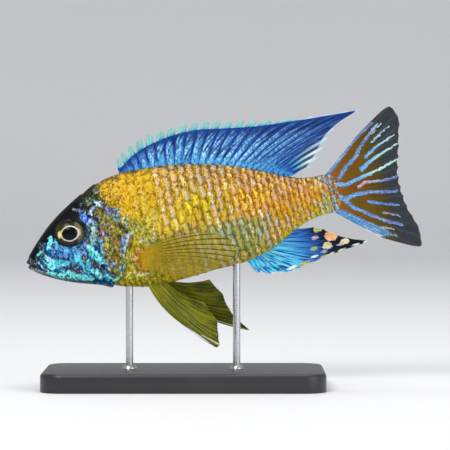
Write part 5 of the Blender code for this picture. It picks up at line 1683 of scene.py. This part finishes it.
studio = {
    "aim": (13.1 * mm, 0.0, 52.0 * mm),
    "frameWidth": 144.0 * mm,  # the width that the picture shows at the model
    "sensor": 36.0,
    "distance": 0.8,
    "elevation": math.radians(1.5),
    "floorSize": (6.0, 5.0),
    "floorFront": 2.0,  # how far the floor reaches in front of the model
    "bendFrom": 1.2,  # where it curves up behind the model
    "bendRise": 0.55,
    "bendPull": 0.6,
    "floor": (0.86, 0.86, 0.87, 1.0),
    "floorShade": (0.8428, 0.8428, 0.8526, 1.0),
    "sky": (0.95, 0.97, 1.0, 1.0),
    "world": 0.5,
    "lit": (0.01, 0.0, 0.055),  # where the lamps point
    # place, size, power and colour of each lamp
    "lamps": {
        "keyLight": ((-0.35, -0.75, 0.75), (0.45, 0.3), 5.9, (1.0, 0.98, 0.95)),
        "fillLight": ((0.75, -0.65, 0.25), (0.6, 0.5), 2.7, (0.93, 0.96, 1.0)),
        "topLight": ((0.05, 0.1, 0.9), (0.7, 0.4), 3.5, (1, 1, 1)),
    },
}


def link(name, data):
    made = bpy.data.objects.new(name, data)
    bpy.context.scene.collection.objects.link(made)
    return made


def makeStudio():
    wide, long = studio["floorSize"]
    bendFrom = studio["bendFrom"]
    floor = bmesh.new()
    bmesh.ops.create_grid(floor, x_segments=24, y_segments=1, size=1.0)
    for vert in floor.verts:
        # the grid runs back along the floor and then curves up behind the model
        run = (vert.co.x + 1) / 2 * long - studio["floorFront"]
        bend = max(0.0, run - bendFrom)
        back = min(run, bendFrom) + min(bend, 1.0) * studio["bendPull"]
        vert.co = (vert.co.y * wide / 2, back, studio["bendRise"] * bend * bend)
    bmesh.ops.recalc_face_normals(floor, faces=floor.faces)
    mesh = bpy.data.meshes.new("studioFloor")
    floor.to_mesh(mesh)
    floor.free()
    mesh.shade_smooth()
    material, tree, shader = newMaterial("paleFloor", 0.6)
    cloud = objectPlace(tree).noise(3.0, 2.0)
    feed(shader["Base Color"], cloud.ramp((0.3, studio["floor"]), (0.7, studio["floorShade"])))
    mesh.materials.append(material)
    link("studioFloor", mesh)

    world = bpy.data.worlds.new("studioWorld")
    bpy.context.scene.world = world
    world.use_nodes = True
    sky = world.node_tree.nodes["Background"]
    sky.inputs["Color"].default_value = studio["sky"]
    sky.inputs["Strength"].default_value = studio["world"]


def makeLight(name, spot, size, power, colour):
    light = bpy.data.lights.new(name, "AREA")
    light.shape = "RECTANGLE"
    light.size, light.size_y = size
    light.energy = power
    light.color = colour
    lamp = link(name, light)
    lamp.location = spot
    lamp.rotation_euler = (Vector(studio["lit"]) - Vector(spot)).to_track_quat("-Z", "Y").to_euler()


def makeCamera():
    camera = bpy.data.cameras.new("camera")
    camera.sensor_width = studio["sensor"]
    camera.lens = studio["sensor"] * studio["distance"] / studio["frameWidth"]
    camera.clip_start = 0.01
    viewer = link("camera", camera)
    aim = Vector(studio["aim"])
    rise = studio["elevation"]
    viewer.location = aim + Vector((0, -math.cos(rise), math.sin(rise))) * studio["distance"]
    viewer.rotation_euler = (aim - viewer.location).to_track_quat("-Z", "Y").to_euler()
    bpy.context.scene.camera = viewer


print("studio")
makeStudio()
for name, lamp in studio["lamps"].items():
    makeLight(name, *lamp)
makeCamera()
bpy.context.scene.view_settings.view_transform = "Standard"
